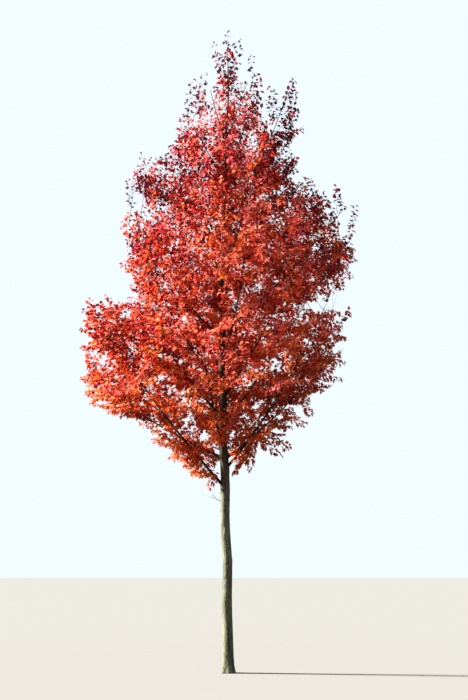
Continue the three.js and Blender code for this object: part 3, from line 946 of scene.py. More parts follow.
def mesh_from_arrays(name, points, triangles, slots=None, smooth=False):
    """A mesh object from arrays of points and triangles."""
    mesh = bpy.data.meshes.new(name)
    mesh.vertices.add(len(points))
    mesh.vertices.foreach_set("co", np.ascontiguousarray(points, dtype=np.float32).ravel())
    mesh.loops.add(3 * len(triangles))
    mesh.loops.foreach_set("vertex_index", np.ascontiguousarray(triangles, dtype=np.int32).ravel())
    mesh.polygons.add(len(triangles))
    mesh.polygons.foreach_set("loop_start", np.arange(0, 3 * len(triangles), 3, dtype=np.int32))
    if slots is not None:
        mesh.polygons.foreach_set("material_index", slots.astype(np.int32))
    mesh.polygons.foreach_set("use_smooth", np.full(len(triangles), smooth))
    mesh.update(calc_edges=True)
    return add_object(name, mesh)


def repeated(faces, count, points_each):
    """The faces of many like shapes, whose points follow one another."""
    return (faces[None] + (np.arange(count) * points_each)[:, None, None]).reshape(-1, 3)


def finish_piece(piece, slot, nodes, *materials):
    for material in materials:
        piece.data.materials.append(material)
    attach(piece, BODY)
    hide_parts(*nodes)
    return piece


def leaf_template():
    """Points of a flat blade, and triangles: a fan about its heart and a sliver for the stalk at its base."""
    outline = [(0.0, 0.0), *HALF_LEAF, (0.0, 1.0), *((-x, y) for x, y in reversed(HALF_LEAF))]
    count = len(outline)
    fan = [(0, 1 + i, 1 + (i + 1) % count) for i in range(count)]
    return np.array([LEAF_HEART, *outline]), np.array([*fan, (1, count + 1, count + 2)])


def a_length(name, description, default, least=0.001):
    return FloatProperty(name=name, description=description, default=default, min=least, unit="LENGTH")


def a_share(name, description, default):
    return FloatProperty(name=name, description=description, default=default, min=0, max=1, subtype="FACTOR")


def a_count(name, description, default, least=0):
    return IntProperty(name=name, description=description, default=default, min=least)


def a_strength(name, description, default):
    return FloatProperty(name=name, description=description, default=default, min=0)


def an_angle(name, description, degrees):
    return FloatProperty(name=name, description=description, default=math.radians(degrees), subtype="ANGLE")


def a_colour(name, description, default):
    settings = {"default": default, "subtype": "COLOR", "size": 3, "min": 0, "max": 1}
    return FloatVectorProperty(name=name, description=description, **settings)


def a_tint(name, default):
    return a_colour(name, f"Base colour of the {name.lower()} leaves", default)


class LeafSizes(bpy.types.PropertyGroup):
    """Sizes of the shoots and leaves, and how open the crown is"""

    shoot_spacing: a_length("Shoot spacing", "Distance between pairs of leafy shoots along a twig", 0.098)
    shoot_length: a_length("Shoot length", "Length of the longest side shoots", 0.24)
    tip_shoot_length: a_length("Tip shoot length", "Length of the shoot that carries a twig on", 0.3)
    bare_stem: a_share("Bare stem", "Share of each stem, from its foot, without shoots of its own", 0.45)
    bare_twig: a_share("Bare twig", "Share of each twig, from its foot, without shoots of its own", 0.25)
    clear_front: a_share("Clear front", "Share of the shoots left out in front of the inner boughs", 0.7)
    gap_tries: a_count("Gap tries", "Number of places in the crown that are looked at for gaps", 14000)
    widest_gap: a_length("Widest gap", "How far from any leafy shoot a place may be before one grows", 0.225)
    back_gap: a_share("Back gaps", "Size of the gaps left behind the trunk, beside those in front", 0.7)
    trunk_shoots: a_count("Trunk shoots", "Number of small shoots round the trunk inside the crown", 240)
    low_shoots: a_count("Low shoots", "Number of small shoots near the trunk under the crown", 60)
    top_openness: a_share("Open top", "Share of the shoots left out near the top of the crown", 0.9)
    shoulder_openness: a_share("Open shoulder", "Share of the shoots left out at the right shoulder", 0.15)
    skirt_openness: a_share("Open skirt", "Share of the shoots left out under the crown's widest part", 0.36)
    front_openness: a_share("Open front", "Share of the shoots left out low in front of the trunk", 0.5)
    core_openness: a_share("Open core", "Share of the shoots left out next to the trunk", 0.65)
    flatness: a_share("Layering", "How much of their slope the low side shoots keep in their layers", 0.35)
    shoot_lift: a_share("Shoot lift", "How much side shoots turn up towards the light", 0.12)
    leaf_spacing: a_length("Leaf spacing", "Distance between pairs of leaves along a shoot", 0.028)
    leaf_length: a_length("Leaf length", "Length of a full leaf blade", 0.067)
    stalk_length: a_length("Stalk length", "Length of a full leaf's stalk", 0.042)
    droop: a_strength("Droop", "How much the blades hang down", 0.6)


class LeafTints(bpy.types.PropertyGroup):
    """Leaf colours, the warm ones and then the cool ones, each from light to dark"""

    amber: a_tint("Amber", (0.51, 0.135, 0.026))
    coral: a_tint("Coral", (0.54, 0.15, 0.105))
    flame: a_tint("Flame", (0.52, 0.1, 0.042))
    scarlet: a_tint("Scarlet", (0.49, 0.053, 0.021))
    red: a_tint("Red", (0.37, 0.026, 0.013))
    brick: a_tint("Brick", (0.22, 0.013, 0.007))
    rose: a_tint("Rose", (0.54, 0.13, 0.15))
    cherry: a_tint("Cherry", (0.46, 0.038, 0.055))
    crimson: a_tint("Crimson", (0.29, 0.017, 0.028))
    ruby: a_tint("Ruby", (0.15, 0.008, 0.015))
    wine: a_tint("Wine", (0.09, 0.005, 0.012))
    plum: a_tint("Plum", (0.05, 0.01, 0.028))


# The families of tints, each from light to dark
WARM_TINTS = ("coral", "flame", "scarlet", "red", "brick", "ruby", "wine")
COOL_TINTS = ("rose", "cherry", "crimson", "crimson", "ruby", "wine", "plum")
ORANGE_TINTS = ("amber", "amber", "flame", "scarlet", "red", "brick", "ruby")
FAMILIES = (WARM_TINTS, COOL_TINTS, ORANGE_TINTS)
TINT_NAMES = tuple(dict.fromkeys(name for names in FAMILIES for name in names))
TINT_SLOTS = np.array([[TINT_NAMES.index(name) for name in names] for names in FAMILIES])


class BarkSizes(bpy.types.PropertyGroup):
    """Sizes and colours of the bark"""

    sides: a_count("Sides", "Faces round the trunk", 120, 12)
    ring_step: a_length("Ring spacing", "Distance between the trunk's rings of points below the crown", 0.009)
    fissure: a_length("Fissure depth", "Depth of the fine upright cracks in the bark", 0.0022)
    knot: a_length("Knot height", "How far old branch scars stand out", 0.006)
    base_colour: a_colour("Bark", "Main colour of the bark", (0.108, 0.115, 0.07))
    # The crack colour also paints the crown's shade on the bark above the fork, and partly the shade in the
    # cracks
    dark_colour: a_colour("Cracks", "Colour in the bark's cracks and on old scars", (0.018, 0.015, 0.011))
    pale_colour: a_colour("Bloom", "Colour of the bark's pale patches", (0.21, 0.21, 0.14))


class StageSizes(bpy.types.PropertyGroup):
    """Where the camera stands, and the strengths of the light"""

    eye_height: a_length("Eye height", "Height of the camera above the ground", EYE_HEIGHT)
    distance: a_length("Distance", "Distance from the camera to the trunk", EYE_DISTANCE)
    sideways: a_length("Sideways", "How far right of the trunk the camera stands", 0.081, -EYE_DISTANCE)
    tilt: an_angle("Tilt", "How far the camera looks up", 10.01)
    key_strength: a_strength("Key light", "Strength of the light from the left", 19.5)
    sky_strength: a_strength("Sky light", "Strength of the light from all round", 0.5)
    backdrop_strength: a_strength("Backdrop", "Brightness of the plain backdrop behind the tree", 0.88)
    sun_elevation: an_angle("Light height", "How high the main light stands above the horizon", 33)
    sun_behind: an_angle("Light behind", "How far behind the tree's left the main light stands", 7)


def wire(tree, node, inputs):
    """Set a node's inputs, by name or number, each to a value or to another node's output."""
    for socket, value in inputs.items():
        if isinstance(value, bpy.types.NodeSocket):
            tree.links.new(value, node.inputs[socket])
        else:
            node.inputs[socket].default_value = value


def add_node(tree, kind, inputs, **settings):
    """A new shader node with its settings and inputs."""
    node = tree.nodes.new(f"ShaderNode{kind}")
    for name, value in settings.items():
        setattr(node, name, value)
    wire(tree, node, inputs)
    return node


def new_material(name):
    """A new material and its node tree."""
    material = bpy.data.materials.new(name)
    material.use_nodes = True
    return material, material.node_tree


def scaled(colour, gain):
    return [min(1, gain * part) for part in colour]


def bark_material(name, base, dark, pale, grain):
    """Smooth young bark: mottled patches, fine upright cracks and small level pores, with painted shade in
    the cracks and inside the crown.
    """
    material, tree = new_material(name)
    place = add_node(tree, "TexCoord", {}).outputs["Object"]

    def pattern(name, grain=grain):
        scale, stretch, detail, roughness, _, _ = BARK_PATTERNS[name]
        stretched = add_node(tree, "Mapping", {"Vector": place, "Scale": (1, 1, stretch)}).outputs["Vector"]
        values = {"Vector": stretched, "Scale": scale * grain, "Detail": detail, "Roughness": roughness}
        return add_node(tree, "TexNoise", values).outputs["Fac"]

    def ramp(name, value, first, second):
        node = add_node(tree, "ValToRGB", {"Fac": value})
        stops = zip(node.color_ramp.elements, BARK_PATTERNS[name][4:], (first, second))
        for stop, position, colour in stops:
            stop.position = position
            stop.color = (*colour, 1)
        return node.outputs["Color"]

    def blend(factor, first, second):
        # Inputs 6 and 7 take the two colours, and output 2 gives the blend
        return add_node(tree, "Mix", {"Factor": factor, 6: first, 7: second}, data_type="RGBA").outputs[2]

    deep = ramp("depth", pattern("depth"), dark, scaled(dark, DEEP_GAIN))
    bloom = ramp("bloom", pattern("bloom", 1), pale, scaled(pale, BLOOM_GAIN))
    cracks = pattern("cracks")
    colour = ramp("patches", pattern("patches"), base, pale)
    colour = blend(ramp("streaks", pattern("streaks"), NONE, STREAKED), colour, deep)
    # The cracks are dark partly by the bark's own colour and partly as painted shade in them
    colour = blend(ramp("cracks", cracks, FULL, NONE), colour, deep)
    colour = blend(ramp("pores", pattern("pores"), NONE, FULL), colour, bloom)
    # Painted shade: higher up, where the crown shades the wood, the bark darkens towards the crack colour
    height = add_node(tree, "SeparateXYZ", {"Vector": place}).outputs["Z"]
    low, high = PAINTED_CROWN_SHADE_SPAN
    rise = {"Value": height, "From Min": low, "From Max": high, "To Max": PAINTED_CROWN_SHADE}
    colour = blend(add_node(tree, "MapRange", rise).outputs["Result"], colour, deep)
    *_, smooth, rough = BARK_PATTERNS["gloss"]
    gloss = add_node(tree, "MapRange", {"Value": pattern("gloss"), "To Min": smooth, "To Max": rough})
    relief = add_node(tree, "Bump", {"Height": cracks, **CRACK_BUMP}).outputs["Normal"]
    relief = add_node(tree, "Bump", {"Height": pattern("grain"), "Normal": relief, **GRAIN_BUMP})
    surface = {"Base Color": colour, "Roughness": gloss.outputs["Result"], "Specular IOR Level": BARK_SHEEN}
    wire(tree, tree.nodes["Principled BSDF"], {**surface, "Normal": relief.outputs["Normal"]})
    return material


def leaf_material(name, colour):
    """A thin leaf: a plain colour, a slight gloss above, and light that comes through it."""
    material, tree = new_material(name)
    shader = tree.nodes["Principled BSDF"]
    gloss = {"Roughness": LEAF_ROUGHNESS, "Specular IOR Level": LEAF_SHEEN}
    wire(tree, shader, {"Base Color": (*colour, 1), **gloss})
    lit = [min(1, gain * part) for gain, part in zip(LIT_GAIN, colour)]
    through = add_node(tree, "BsdfTranslucent", {"Color": (*lit, 1)})
    sides = {"Fac": THROUGH_SHARE, 1: shader.outputs["BSDF"], 2: through.outputs["BSDF"]}
    mix = add_node(tree, "MixShader", sides)
    wire(tree, tree.nodes["Material Output"], {"Surface": mix.outputs["Shader"]})
    return material


def rolled_limb(name, point_at, radius_at, shares, sides, level=False):
    """A closed limb, rolled up from a grid: one ring of points for each share of its length."""
    bm = bmesh.new()
    rings = len(shares) - 1
    bmesh.ops.create_grid(bm, x_segments=sides, y_segments=rings, size=1)
    frames = []
    for share in shares:
        ahead = UP if level else heading_at(point_at, share)
        guide = Vector((0, 1, 0)) if abs(ahead.x) > NEARLY_ALONG else Vector((1, 0, 0))
        across = (guide - ahead * ahead.dot(guide)).normalized()
        frames.append((point_at(share), across, ahead.cross(across)))
    for vert in bm.verts:
        ring = round((vert.co.y + 1) / 2 * rings)
        angle = math.pi * (vert.co.x + 1)
        middle, across, beside = frames[ring]
        radius = radius_at(shares[ring], angle)
        vert.co = middle + (across * math.cos(angle) + beside * math.sin(angle)) * radius
    bmesh.ops.remove_doubles(bm, verts=bm.verts, dist=SEAM)
    bmesh.ops.holes_fill(bm, edges=bm.edges, sides=0)
    bmesh.ops.recalc_face_normals(bm, faces=bm.faces)
    mesh = mesh_of(bm, name)
    for face in mesh.polygons:
        face.use_smooth = len(face.vertices) <= 4
    return add_object(name, mesh)


def turn_between(a, b):
    return math.atan2(math.sin(a - b), math.cos(a - b))


def knots_on_trunk(height, angle, depth):
    """Old branch scars: oval swellings with a dimple in each."""
    swelling = 0.0
    for number, middle in enumerate(KNOT_HEIGHTS):
        if abs(height - middle) > KNOT_REACH:
            continue
        size = around(KNOT_SIZE, number + 40.5)
        across = turn_between(angle, number * GOLDEN_TURN + KNOT_TURN) * FOOT_RADIUS / (KNOT_WIDTH * size)
        along = (height - middle) / (KNOT_LENGTH * size)
        far = across * across + along * along
        swelling += depth * size * (math.exp(-far) - DIMPLE * math.exp(-DIMPLE_SHARPNESS * far))
    return swelling


def bark_cracks(at, height):
    """How deep the bark is cracked at a place: short upright lines where a noise is near zero."""
    depth = 0.0
    for pitch, climb, offset, width, strength in BARK_CRACKS:
        value = noise.noise(at * pitch + UP * (height * climb + offset))
        depth += strength * max(0, 1 - abs(value) / width)
    return depth


def collars_on_trunk(height, angle, boughs):
    """The trunk's swellings where boughs leave it."""
    swelling = 0.0
    for bough in boughs:
        rise = height - bough.foot
        if abs(rise) > COLLAR_REACH:
            continue
        size = bough.radius_at(0)
        along = (rise - COLLAR_RISE * size) / (COLLAR_LENGTH * size)
        across = turn_between(angle, bough.heading) / COLLAR_WIDTH
        swelling += COLLAR * size * math.exp(-along * along - across * across)
    return swelling


def leader_radius(height, top):
    """The trunk's plain radius, drawn in high up to the thin line that shows between the leaves."""
    radius = trunk_radius(height)
    if height > TRUNK_TOP:
        along = (height - TRUNK_TOP) / (top - TRUNK_TOP)
        radius = lerp(trunk_radius(TRUNK_TOP), LEADER_TIP * THINNEST, along)
    return radius * (1 - LEADER_THINNING * smoothstep(height, *THINNED_SPAN))


class MAPLE_OT_trunk(bpy.types.Operator):
    """Grow the trunk and leader, with a flared foot, old scars, bough collars and the bark's relief"""

    bl_idname = "maple.trunk"
    bl_label = "Grow Trunk"

    def execute(self, context):
        bark = context.scene.maple_bark
        boughs = grown_tree()[0]
        top = HEIGHT - LEADER_ROOM
        low_rings = round(FORK_HEIGHT / bark.ring_step)
        high_rings = round((top - FORK_HEIGHT) / (HIGH_RINGS * bark.ring_step))
        heights = [FORK_HEIGHT * i / low_rings for i in range(low_rings)]
        heights += [lerp(FORK_HEIGHT, top, i / high_rings) for i in range(high_rings + 1)]

        def radius_at(share, angle):
            height = share * top
            radius = leader_radius(height, top)
            radius += RIDGE * math.exp(-height / FLARE_HEIGHT) * math.cos(ROOT_RIDGES * angle)
            radius += knots_on_trunk(height, angle, bark.knot) + collars_on_trunk(height, angle, boughs)
            at = Vector((math.cos(angle), math.sin(angle), 0))
            pitch, climb = SWELL_PITCH
            swells = SWELL * noise.noise(at * pitch + UP * height * climb)
            relief = -bark.fissure * (HIGH_CRACKS + math.exp(-height / FOOT_CRACKS)) * bark_cracks(at, height)
            pitch, climb = ROUGHNESS_PITCH
            relief += ROUGHNESS * bark.fissure * noise.noise(at * pitch + UP * height * climb)
            return radius + (swells + relief) * min(1, radius / FOOT_RADIUS)

        shares = [height / top for height in heights]
        piece = rolled_limb("trunk_bark", lambda s: trunk_point(s * top), radius_at, shares, bark.sides, True)
        material = bark_material("trunk_bark", bark.base_colour, bark.dark_colour, bark.pale_colour, 1.0)
        finish_piece(piece, "trunk_bark", ["trunk"], material)
        return {"FINISHED"}


def last_leafy_share(shoot_roots, point_at, length):
    """How far along an axis its last leafy shoot springs, as wood beyond it would stand bare."""
    steps = math.ceil(length / ROOT_STEP)
    for i in range(steps, 0, -1):
        if shoot_roots.find(point_at(i / steps))[2] < ROOT_NEAR:
            return i / steps
    return 0


class MAPLE_OT_boughs(bpy.types.Operator):
    """Grow each bough as one tapering limb, from a collar in the trunk to its thin tip"""

    bl_idname = "maple.boughs"
    bl_label = "Grow Boughs"

    def execute(self, context):
        bark = context.scene.maple_bark
        # Painted shade: the boughs' bark is a darker copy of the trunk's bark
        shade, bloom = scaled(bark.base_colour, BOUGH_PAINTED_SHADE), scaled(bark.base_colour, BOUGH_BLOOM)
        deep = scaled(bark.dark_colour, BOUGH_DEEP)
        material = bark_material("bough_bark", shade, deep, bloom, BOUGH_GRAIN)
        shoot_roots = tree_of(leafy_shoots(context.scene)[0])
        for bough in grown_tree()[0]:
            reach = last_leafy_share(shoot_roots, bough.point_at, bough.length)
            length = reach * bough.length
            rings = max(FEWEST_RINGS, round(length / BOUGH_RING_STEP))

            def point_at(share, bough=bough, reach=reach):
                return bough.point_at(share * reach)

            def radius_at(share, angle, bough=bough, length=length):
                run = share * length
                foot = bough.radius_at(0)
                radius = lerp(foot, BOUGH_TIP, share**LIMB_TAPER)
                radius += BOUGH_COLLAR * foot * math.exp(-run / BOUGH_COLLAR_LENGTH)
                at = Vector((math.cos(angle), math.sin(angle), run * LUMP_PITCH + bough.number))
                return radius * (1 + sum(noise.noise(at * Vector(pitch)) * height for pitch, height in LUMPS))

            shares = [(i / rings) ** RING_CROWDING for i in range(rings + 1)]
            piece = rolled_limb(f"{bough.name}_limb", point_at, radius_at, shares, BOUGH_SIDES)
            nodes = [bough.name] if bough.name in NODES else []
            finish_piece(piece, "bough_bark", nodes, material)
        return {"FINISHED"}


def tubes(paths, radii, sides):
    """Joined thin tubes from arrays: paths is (tubes, points, 3) and radii is (tubes, points)."""
    count, steps = radii.shape
    ahead = normalized(np.gradient(paths, axis=1))
    guide = np.where(np.abs(ahead[..., 2:3]) > NEARLY_ALONG, np.array((1.0, 0, 0)), UP_ROW)
    across = normalized(np.cross(ahead, guide))
    beside = np.cross(ahead, across)
    turns = 2 * np.pi * np.arange(sides) / sides
    ring = across[:, :, None] * np.cos(turns)[:, None] + beside[:, :, None] * np.sin(turns)[:, None]
    points = (paths[:, :, None] + ring * radii[:, :, None, None]).reshape(-1, 3)
    feet = np.arange(steps - 1)[:, None] * sides
    low = (feet + np.arange(sides)).ravel()
    near = (feet + (np.arange(sides) + 1) % sides).ravel()
    last = (steps - 1) * sides
    cap = [(last, last + i, last + i + 1) for i in range(1, sides - 1)]
    walls = [np.stack([low, near, near + sides], 1), np.stack([low, near + sides, low + sides], 1)]
    return points, repeated(np.concatenate([*walls, cap]), count, steps * sides)


def on_shoots(roots, directions, lengths, shares):
    """Points at shares of the length of shoots, which arch slightly."""
    return roots + (directions * shares + SHOOT_ARCH * UP_ROW * shares**2) * lengths


class MAPLE_OT_twigs(bpy.types.Operator):
    """Grow the twigs of every mass and the fine shoots that carry the leaves"""

    bl_idname = "maple.twigs"
    bl_label = "Grow Twigs"

    def execute(self, context):
        bark = context.scene.maple_bark
        # Painted shade: the twigs' bark is a darker copy of the trunk's bark
        shade = scaled(bark.base_colour, TWIG_PAINTED_SHADE)
        material = bark_material("twig_bark", shade, bark.dark_colour, scaled(shade, TWIG_BLOOM), FINE_BARK)
        _, stems, twigs = grown_tree()
        roots, directions, lengths, *_ = leafy_shoots(context.scene)
        shoot_roots = tree_of(roots)
        paths = []
        for twig in twigs:
            if twig.length < SHORTEST_TWIG:
                continue
            reach = last_leafy_share(shoot_roots, twig.point_at, twig.length)
            if reach:
                paths.append([twig.point_at(reach * i / (TWIG_POINTS - 1)) for i in range(TWIG_POINTS)])
        shares = np.linspace(0, 1, SHOOT_POINTS)[None, :, None]
        shoot_paths = on_shoots(roots[:, None], directions[:, None], lengths[:, None, None], shares)
        kinds = (
            ("twigs", np.array(paths), TWIG_RADII, TWIG_SIDES),
            ("shoots", shoot_paths, SHOOT_RADII, SHOOT_SIDES),
        )
        for name, lines, radii, sides in kinds:
            count, steps, _ = lines.shape
            points, faces = tubes(lines, np.linspace(*radii, steps)[None].repeat(count, 0), sides)
            piece = mesh_from_arrays(name, points, faces, smooth=True)
            finish_piece(piece, "bough_bark", [stem.name for stem in stems], material)
        return {"FINISHED"}


def seen_from_front(points):
    """Where points show in the photograph, as metres across and up in the plane of the trunk."""
    nearer = EYE_DISTANCE / (EYE_DISTANCE + points[:, 1])
    return np.stack([points[:, 0] * nearer, (points[:, 2] - EYE_HEIGHT) * nearer], 1)


def hides_bough(points):
    """Which points stand in front of the inner part of a bough and close beside its line."""
    seen = seen_from_front(points)
    hidden = np.zeros(len(points), bool)
    for bough in grown_tree()[0]:
        line = np.array(chain_of(bough.point_at, LINE_STOPS)[INNER_STOPS])
        gap = np.linalg.norm(seen[:, None] - seen_from_front(line)[None], axis=2)
        nearest = gap.argmin(1)
        hidden |= (gap.min(1) < CLEAR_HALF_WIDTH) & (points[:, 1] < line[nearest, 1] + CLEAR_DEPTH)
    return hidden


def leafy_shoots(scene):
    """The shoots whose tips stay in the crown, as arrays. Fewer are kept where the crown is open."""
    sizes = scene.maple_leaves
    roots, directions, lengths, turns, owners, keys = grow_shoots(sizes).arrays()
    tips = roots + directions * lengths[:, None]
    core = grade(np.hypot(roots[:, 0], roots[:, 1]) / crown_reach(0, roots[:, 2]), CORE_WIDTH, 0)
    core *= np.where(tips[:, 1] < CORE_FRONT, 1, BACK_CORE)
    openings = (
        sizes.top_openness * in_part("crest", tips),
        sizes.shoulder_openness * in_part("shoulder", tips),
        sizes.core_openness * in_part("lower", roots) * core,
        sizes.skirt_openness * in_part("skirt", tips),
        sizes.front_openness * in_part("low_front", tips) * (np.abs(tips[:, 0]) < FRONT_HALF_WIDTH),
        sizes.clear_front * hides_bough(0.5 * (roots + tips)),
    )
    draw = chances(keys * 2.3 + 12.7)
    spire = (owners == SPIRE["number"]) & (tips[:, 0] > SPIRE_SHOOT_X) & (tips[:, 2] > SPIRE_FROM)
    kept = (in_crown(tips, 0.0) | spire) & (draw > np.max(openings, axis=0))
    kept = (kept | (keys >= PLACED_KEY)) & (tips[:, 2] > LOWEST_TIP)
    return [column[kept] for column in (roots, directions, lengths, turns, owners, keys)]


def shoot_tints(tips, owners, keys):
    """A shade and a family of tints for each shoot: warm low down and inside, dark and cool at the top, the
    shade painting light and shade by place.
    """
    x, y, z = tips.T
    parts = {name: in_part(name, tips) for name in CROWN_PARTS}
    # Painted shade round the backlit top and the outer edge high up
    parts["top"] = grade(z - TOP_HEART * parts["inside"], *PAINTED_DARK_TOP)
    edge = grade(np.hypot(x, y) / crown_reach(np.arctan2(y, x), z), *EDGE_SPAN)
    parts["high_edge"] = parts["high"] * np.maximum(edge, parts["top"])
    # Painted light and shade by place in the crown, then tone that differs at random by mass, by spray and by
    # shoot
    shade = sum((weight * parts[name] for name, weight in PAINTED_SHADE_BY_PART.items()), LIGHTEST)
    shade += MASS_SHADE * wanders(owners + 71.3)
    shade += SPRAY_SHADE * wanders(np.floor(keys) * 1.7 + 72.1)
    shade += SHOOT_SHADE * wanders(keys * 3.3 + 73.9)
    cool = sum(weight * parts[name] for name, weight in COOLER.items())
    orange = ORANGE_SHARE + HIGH_ORANGE * parts["high"] + LOW_ORANGE * parts["lowest_third"]
    draw = chances(keys * 4.1 + 74.3)
    family = np.where(draw < cool, 1, np.where(draw > 1 - orange, 2, 0))
    return np.clip(shade, 0, DARKEST) * len(WARM_TINTS), family


def leaf_spacings(sizes, roots):
    """The distance between pairs of leaves on each shoot: wide high up and on the left, close at the back."""
    spacing = sizes.leaf_spacing * (1 + THIN_TOP * in_part("thin_top", roots))
    spacing *= 1 - UNEVEN * np.clip(roots[:, 0] / UNEVEN_WIDTH, -1, 1) * in_part("uneven", roots)
    spacing *= np.where(roots[:, 1] > 0, BACK_SPACING, 1) * (1 + THIN_UPPER * in_part("upper_half", roots))
    return spacing


def place_leaves(scene):
    """Each leaf's base, axis, facing, size, stalk root, owner and tint, in opposite pairs along shoots."""
    sizes = scene.maple_leaves
    random = np.random.default_rng(LEAF_SEED)
    roots, directions, lengths, turns, owners, keys = leafy_shoots(scene)
    shades, families = shoot_tints(roots + directions * lengths[:, None], owners, keys)
    layered = np.minimum(in_part("layers", roots), MOST_LAYERED) * (keys < PLACED_KEY)
    nodes = np.maximum(1, np.round(lengths / leaf_spacings(sizes, roots))).astype(int)
    rows = []
    for node, way in itertools.product(range(nodes.max() + 1), (0, 1)):
        chosen = np.nonzero(node + way <= nodes)[0]
        count = len(chosen)
        ahead = directions[chosen]
        share = np.minimum(1, (node + 0.5) / nodes[chosen])
        turn = way * math.pi + random.normal(0, TURN_SPREAD, count)
        turn += (turns[chosen] + node * math.pi / 2) * (random.uniform(0, 1, count) > layered[chosen])
        angle = np.where(node == nodes[chosen], END_ANGLE, PAIR_ANGLE) + random.normal(0, ANGLE_SPREAD, count)
        stalk_way = side_directions(ahead, angle, turn) + STALK_LIFT * UP_ROW
        start = on_shoots(roots[chosen], ahead, lengths[chosen, None], share[:, None])
        young = np.where(share > YOUNG_FROM, YOUNG_SIZE, 1.0)
        large = 1 + LARGER * in_part("large_leaves", start)
        size = sizes.leaf_length * random.uniform(*SIZE_RANGE, count) * young * large
        stalk = sizes.stalk_length * size / sizes.leaf_length * random.uniform(*STALK_RANGE, count)
        base = start + (normalized(stalk_way) - STALK_SAG * UP_ROW) * stalk[:, None]
        hang = sizes.droop * random.uniform(*HANG_RANGE, count) * (1 + in_part("hanging_leaves", base))
        axis = STALK_PULL * stalk_way + (1 - STALK_PULL) * ahead + random.normal(0, AXIS_SPREAD, (count, 3))
        axis = normalized(axis - hang[:, None] * UP_ROW)
        facing = UP_ROW + FACING_OUT * normalized(base * (1, 1, 0))
        facing += random.normal(0, FACING_SPREAD, (count, 3))
        facing = normalized(facing - axis * (facing * axis).sum(1, keepdims=True))
        kept = in_crown(base + axis * size[:, None], LEAF_MARGIN) | (keys[chosen] >= PLACED_KEY)
        kept |= (owners[chosen] == SPIRE["number"]) & (base[:, 0] > SPIRE_LEAF_X) & (base[:, 2] > SPIRE_FROM)
        # Each leaf's tint starts from its shoot's shade, which holds painted light and shade by place, and
        # chance spreads it
        spread = LEAF_SHADES + MORE_LEAF_SHADES * in_part("varied", base)
        shade = np.clip(shades[chosen] + spread * random.normal(0, 1, count), 0, len(WARM_TINTS) - 1)
        tints = TINT_SLOTS[families[chosen], shade.astype(int)]
        row = (base, axis, facing, size, start, owners[chosen], tints)
        rows.append([column[kept] for column in row])
    return [np.concatenate(column) for column in zip(*rows)]


class MAPLE_OT_dead_twig(bpy.types.Operator):
    """Grow the bare dead twig on the left of the trunk, just under the lowest bough"""

    bl_idname = "maple.dead_twig"
    bl_label = "Grow Dead Twig"

    def execute(self, context):
        bark = context.scene.maple_bark
        root = trunk_point(DEAD_TWIG_HEIGHT) - Vector((SHOOT_SINK * FORK_RADIUS, 0, 0))
        main = [root + Vector((-out, DEAD_TWIG_BACK * out, up)) for out, up in DEAD_TWIG_LINE]
        side = [main[DEAD_SIDE_FROM] + Vector((-out, DEAD_SIDE_BACK * out, up)) for out, up in DEAD_TWIG_SIDE]
        radii = [np.linspace(*DEAD_TWIG_RADII, len(main)), np.linspace(*DEAD_SIDE_RADII, len(side))]
        points, faces = tubes(np.array([main, side]), np.array(radii), DEAD_TWIG_SIDES)
        piece = mesh_from_arrays("dead_twig", points, faces, smooth=True)
        material = bark_material("dead_twig", bark.pale_colour, bark.dark_colour, bark.pale_colour, FINE_BARK)
        finish_piece(piece, "bough_bark", [], material)
        return {"FINISHED"}


def leaf_points(base, axis, facing, size, start):
    """The points of each leaf: its folded and curled blade, and then the two at the foot of its stalk."""
    blade = leaf_template()[0]
    random = np.random.default_rng(BLADE_SEED)
    count = len(base)
    side = np.cross(facing, axis)
    high = in_part("large_leaves", base)[:, None]
    fold = random.uniform(*FOLD_RANGE, count)[:, None] + HIGH_FOLD * high
    curl = random.uniform(*CURL_RANGE, count)[:, None]
    width = random.uniform(*WIDTH_RANGE, count)[:, None] * (1 - HIGH_NARROWING * high)
    across, along = blade[None, :, 0] * width, blade[None, :, 1]
    up = fold * np.abs(across) - curl * along**2
    flat = side[:, None] * across[..., None] + axis[:, None] * along[..., None]
    blades = base[:, None] + (flat + facing[:, None] * up[..., None]) * size[:, None, None]
    half_stalk = side * HALF_STALK
    return np.concatenate([blades, np.stack([start - half_stalk, start + half_stalk], 1)], 1)


def tiers_of(stems, owners, most):
    """The tier that each mass's leaves are joined into, from the lowest up, with at most so many in each."""
    tiers = np.zeros(max(stem.number for stem in stems) + 1, int)
    tier, held = 0, 0
    for stem in sorted(stems, key=lambda stem: stem.point_at(TIER_SHARE).z):
        leaves = int((owners == stem.number).sum())
        if held + leaves > most:
            tier, held = tier + 1, 0
        tiers[stem.number] = tier
        held += leaves
    return tiers


class MAPLE_OT_leaves(bpy.types.Operator):
    """Grow the lobed leaves in tints that go by shoot, joined into pieces by tier of the crown"""

    bl_idname = "maple.leaves"
    bl_label = "Grow Leaves"

    def execute(self, context):
        stems = grown_tree()[1]
        *places, owners, tints = place_leaves(context.scene)
        points = leaf_points(*places)
        faces = leaf_template()[1]
        colours = context.scene.maple_tints
        materials = [leaf_material(f"leaf_{name}", getattr(colours, name)) for name in TINT_NAMES]
        tiers = tiers_of(stems, owners, PIECE_TRIANGLES // len(faces))
        for number in range(tiers.max() + 1):
            mine = tiers[owners] == number
            some = points[mine]
            triangles = repeated(faces, len(some), points.shape[1])
            slots = tints[mine].repeat(len(faces))
            piece = mesh_from_arrays(f"leaves_tier_{number + 1}", some.reshape(-1, 3), triangles, slots)
            nodes = [stem.name for stem in stems if tiers[stem.number] == number]
            finish_piece(piece, "red_leaves", nodes, *materials)
        return {"FINISHED"}


def show_or_shine(tree, shown, other, output):
    """One shader for what the camera sees, and another for every other ray."""
    seen = add_node(tree, "LightPath", {}).outputs["Is Camera Ray"]
    mix = add_node(tree, "MixShader", {"Fac": seen, 1: other.outputs[0], 2: shown.outputs[0]})
    wire(tree, tree.nodes[output], {"Surface": mix.outputs["Shader"]})


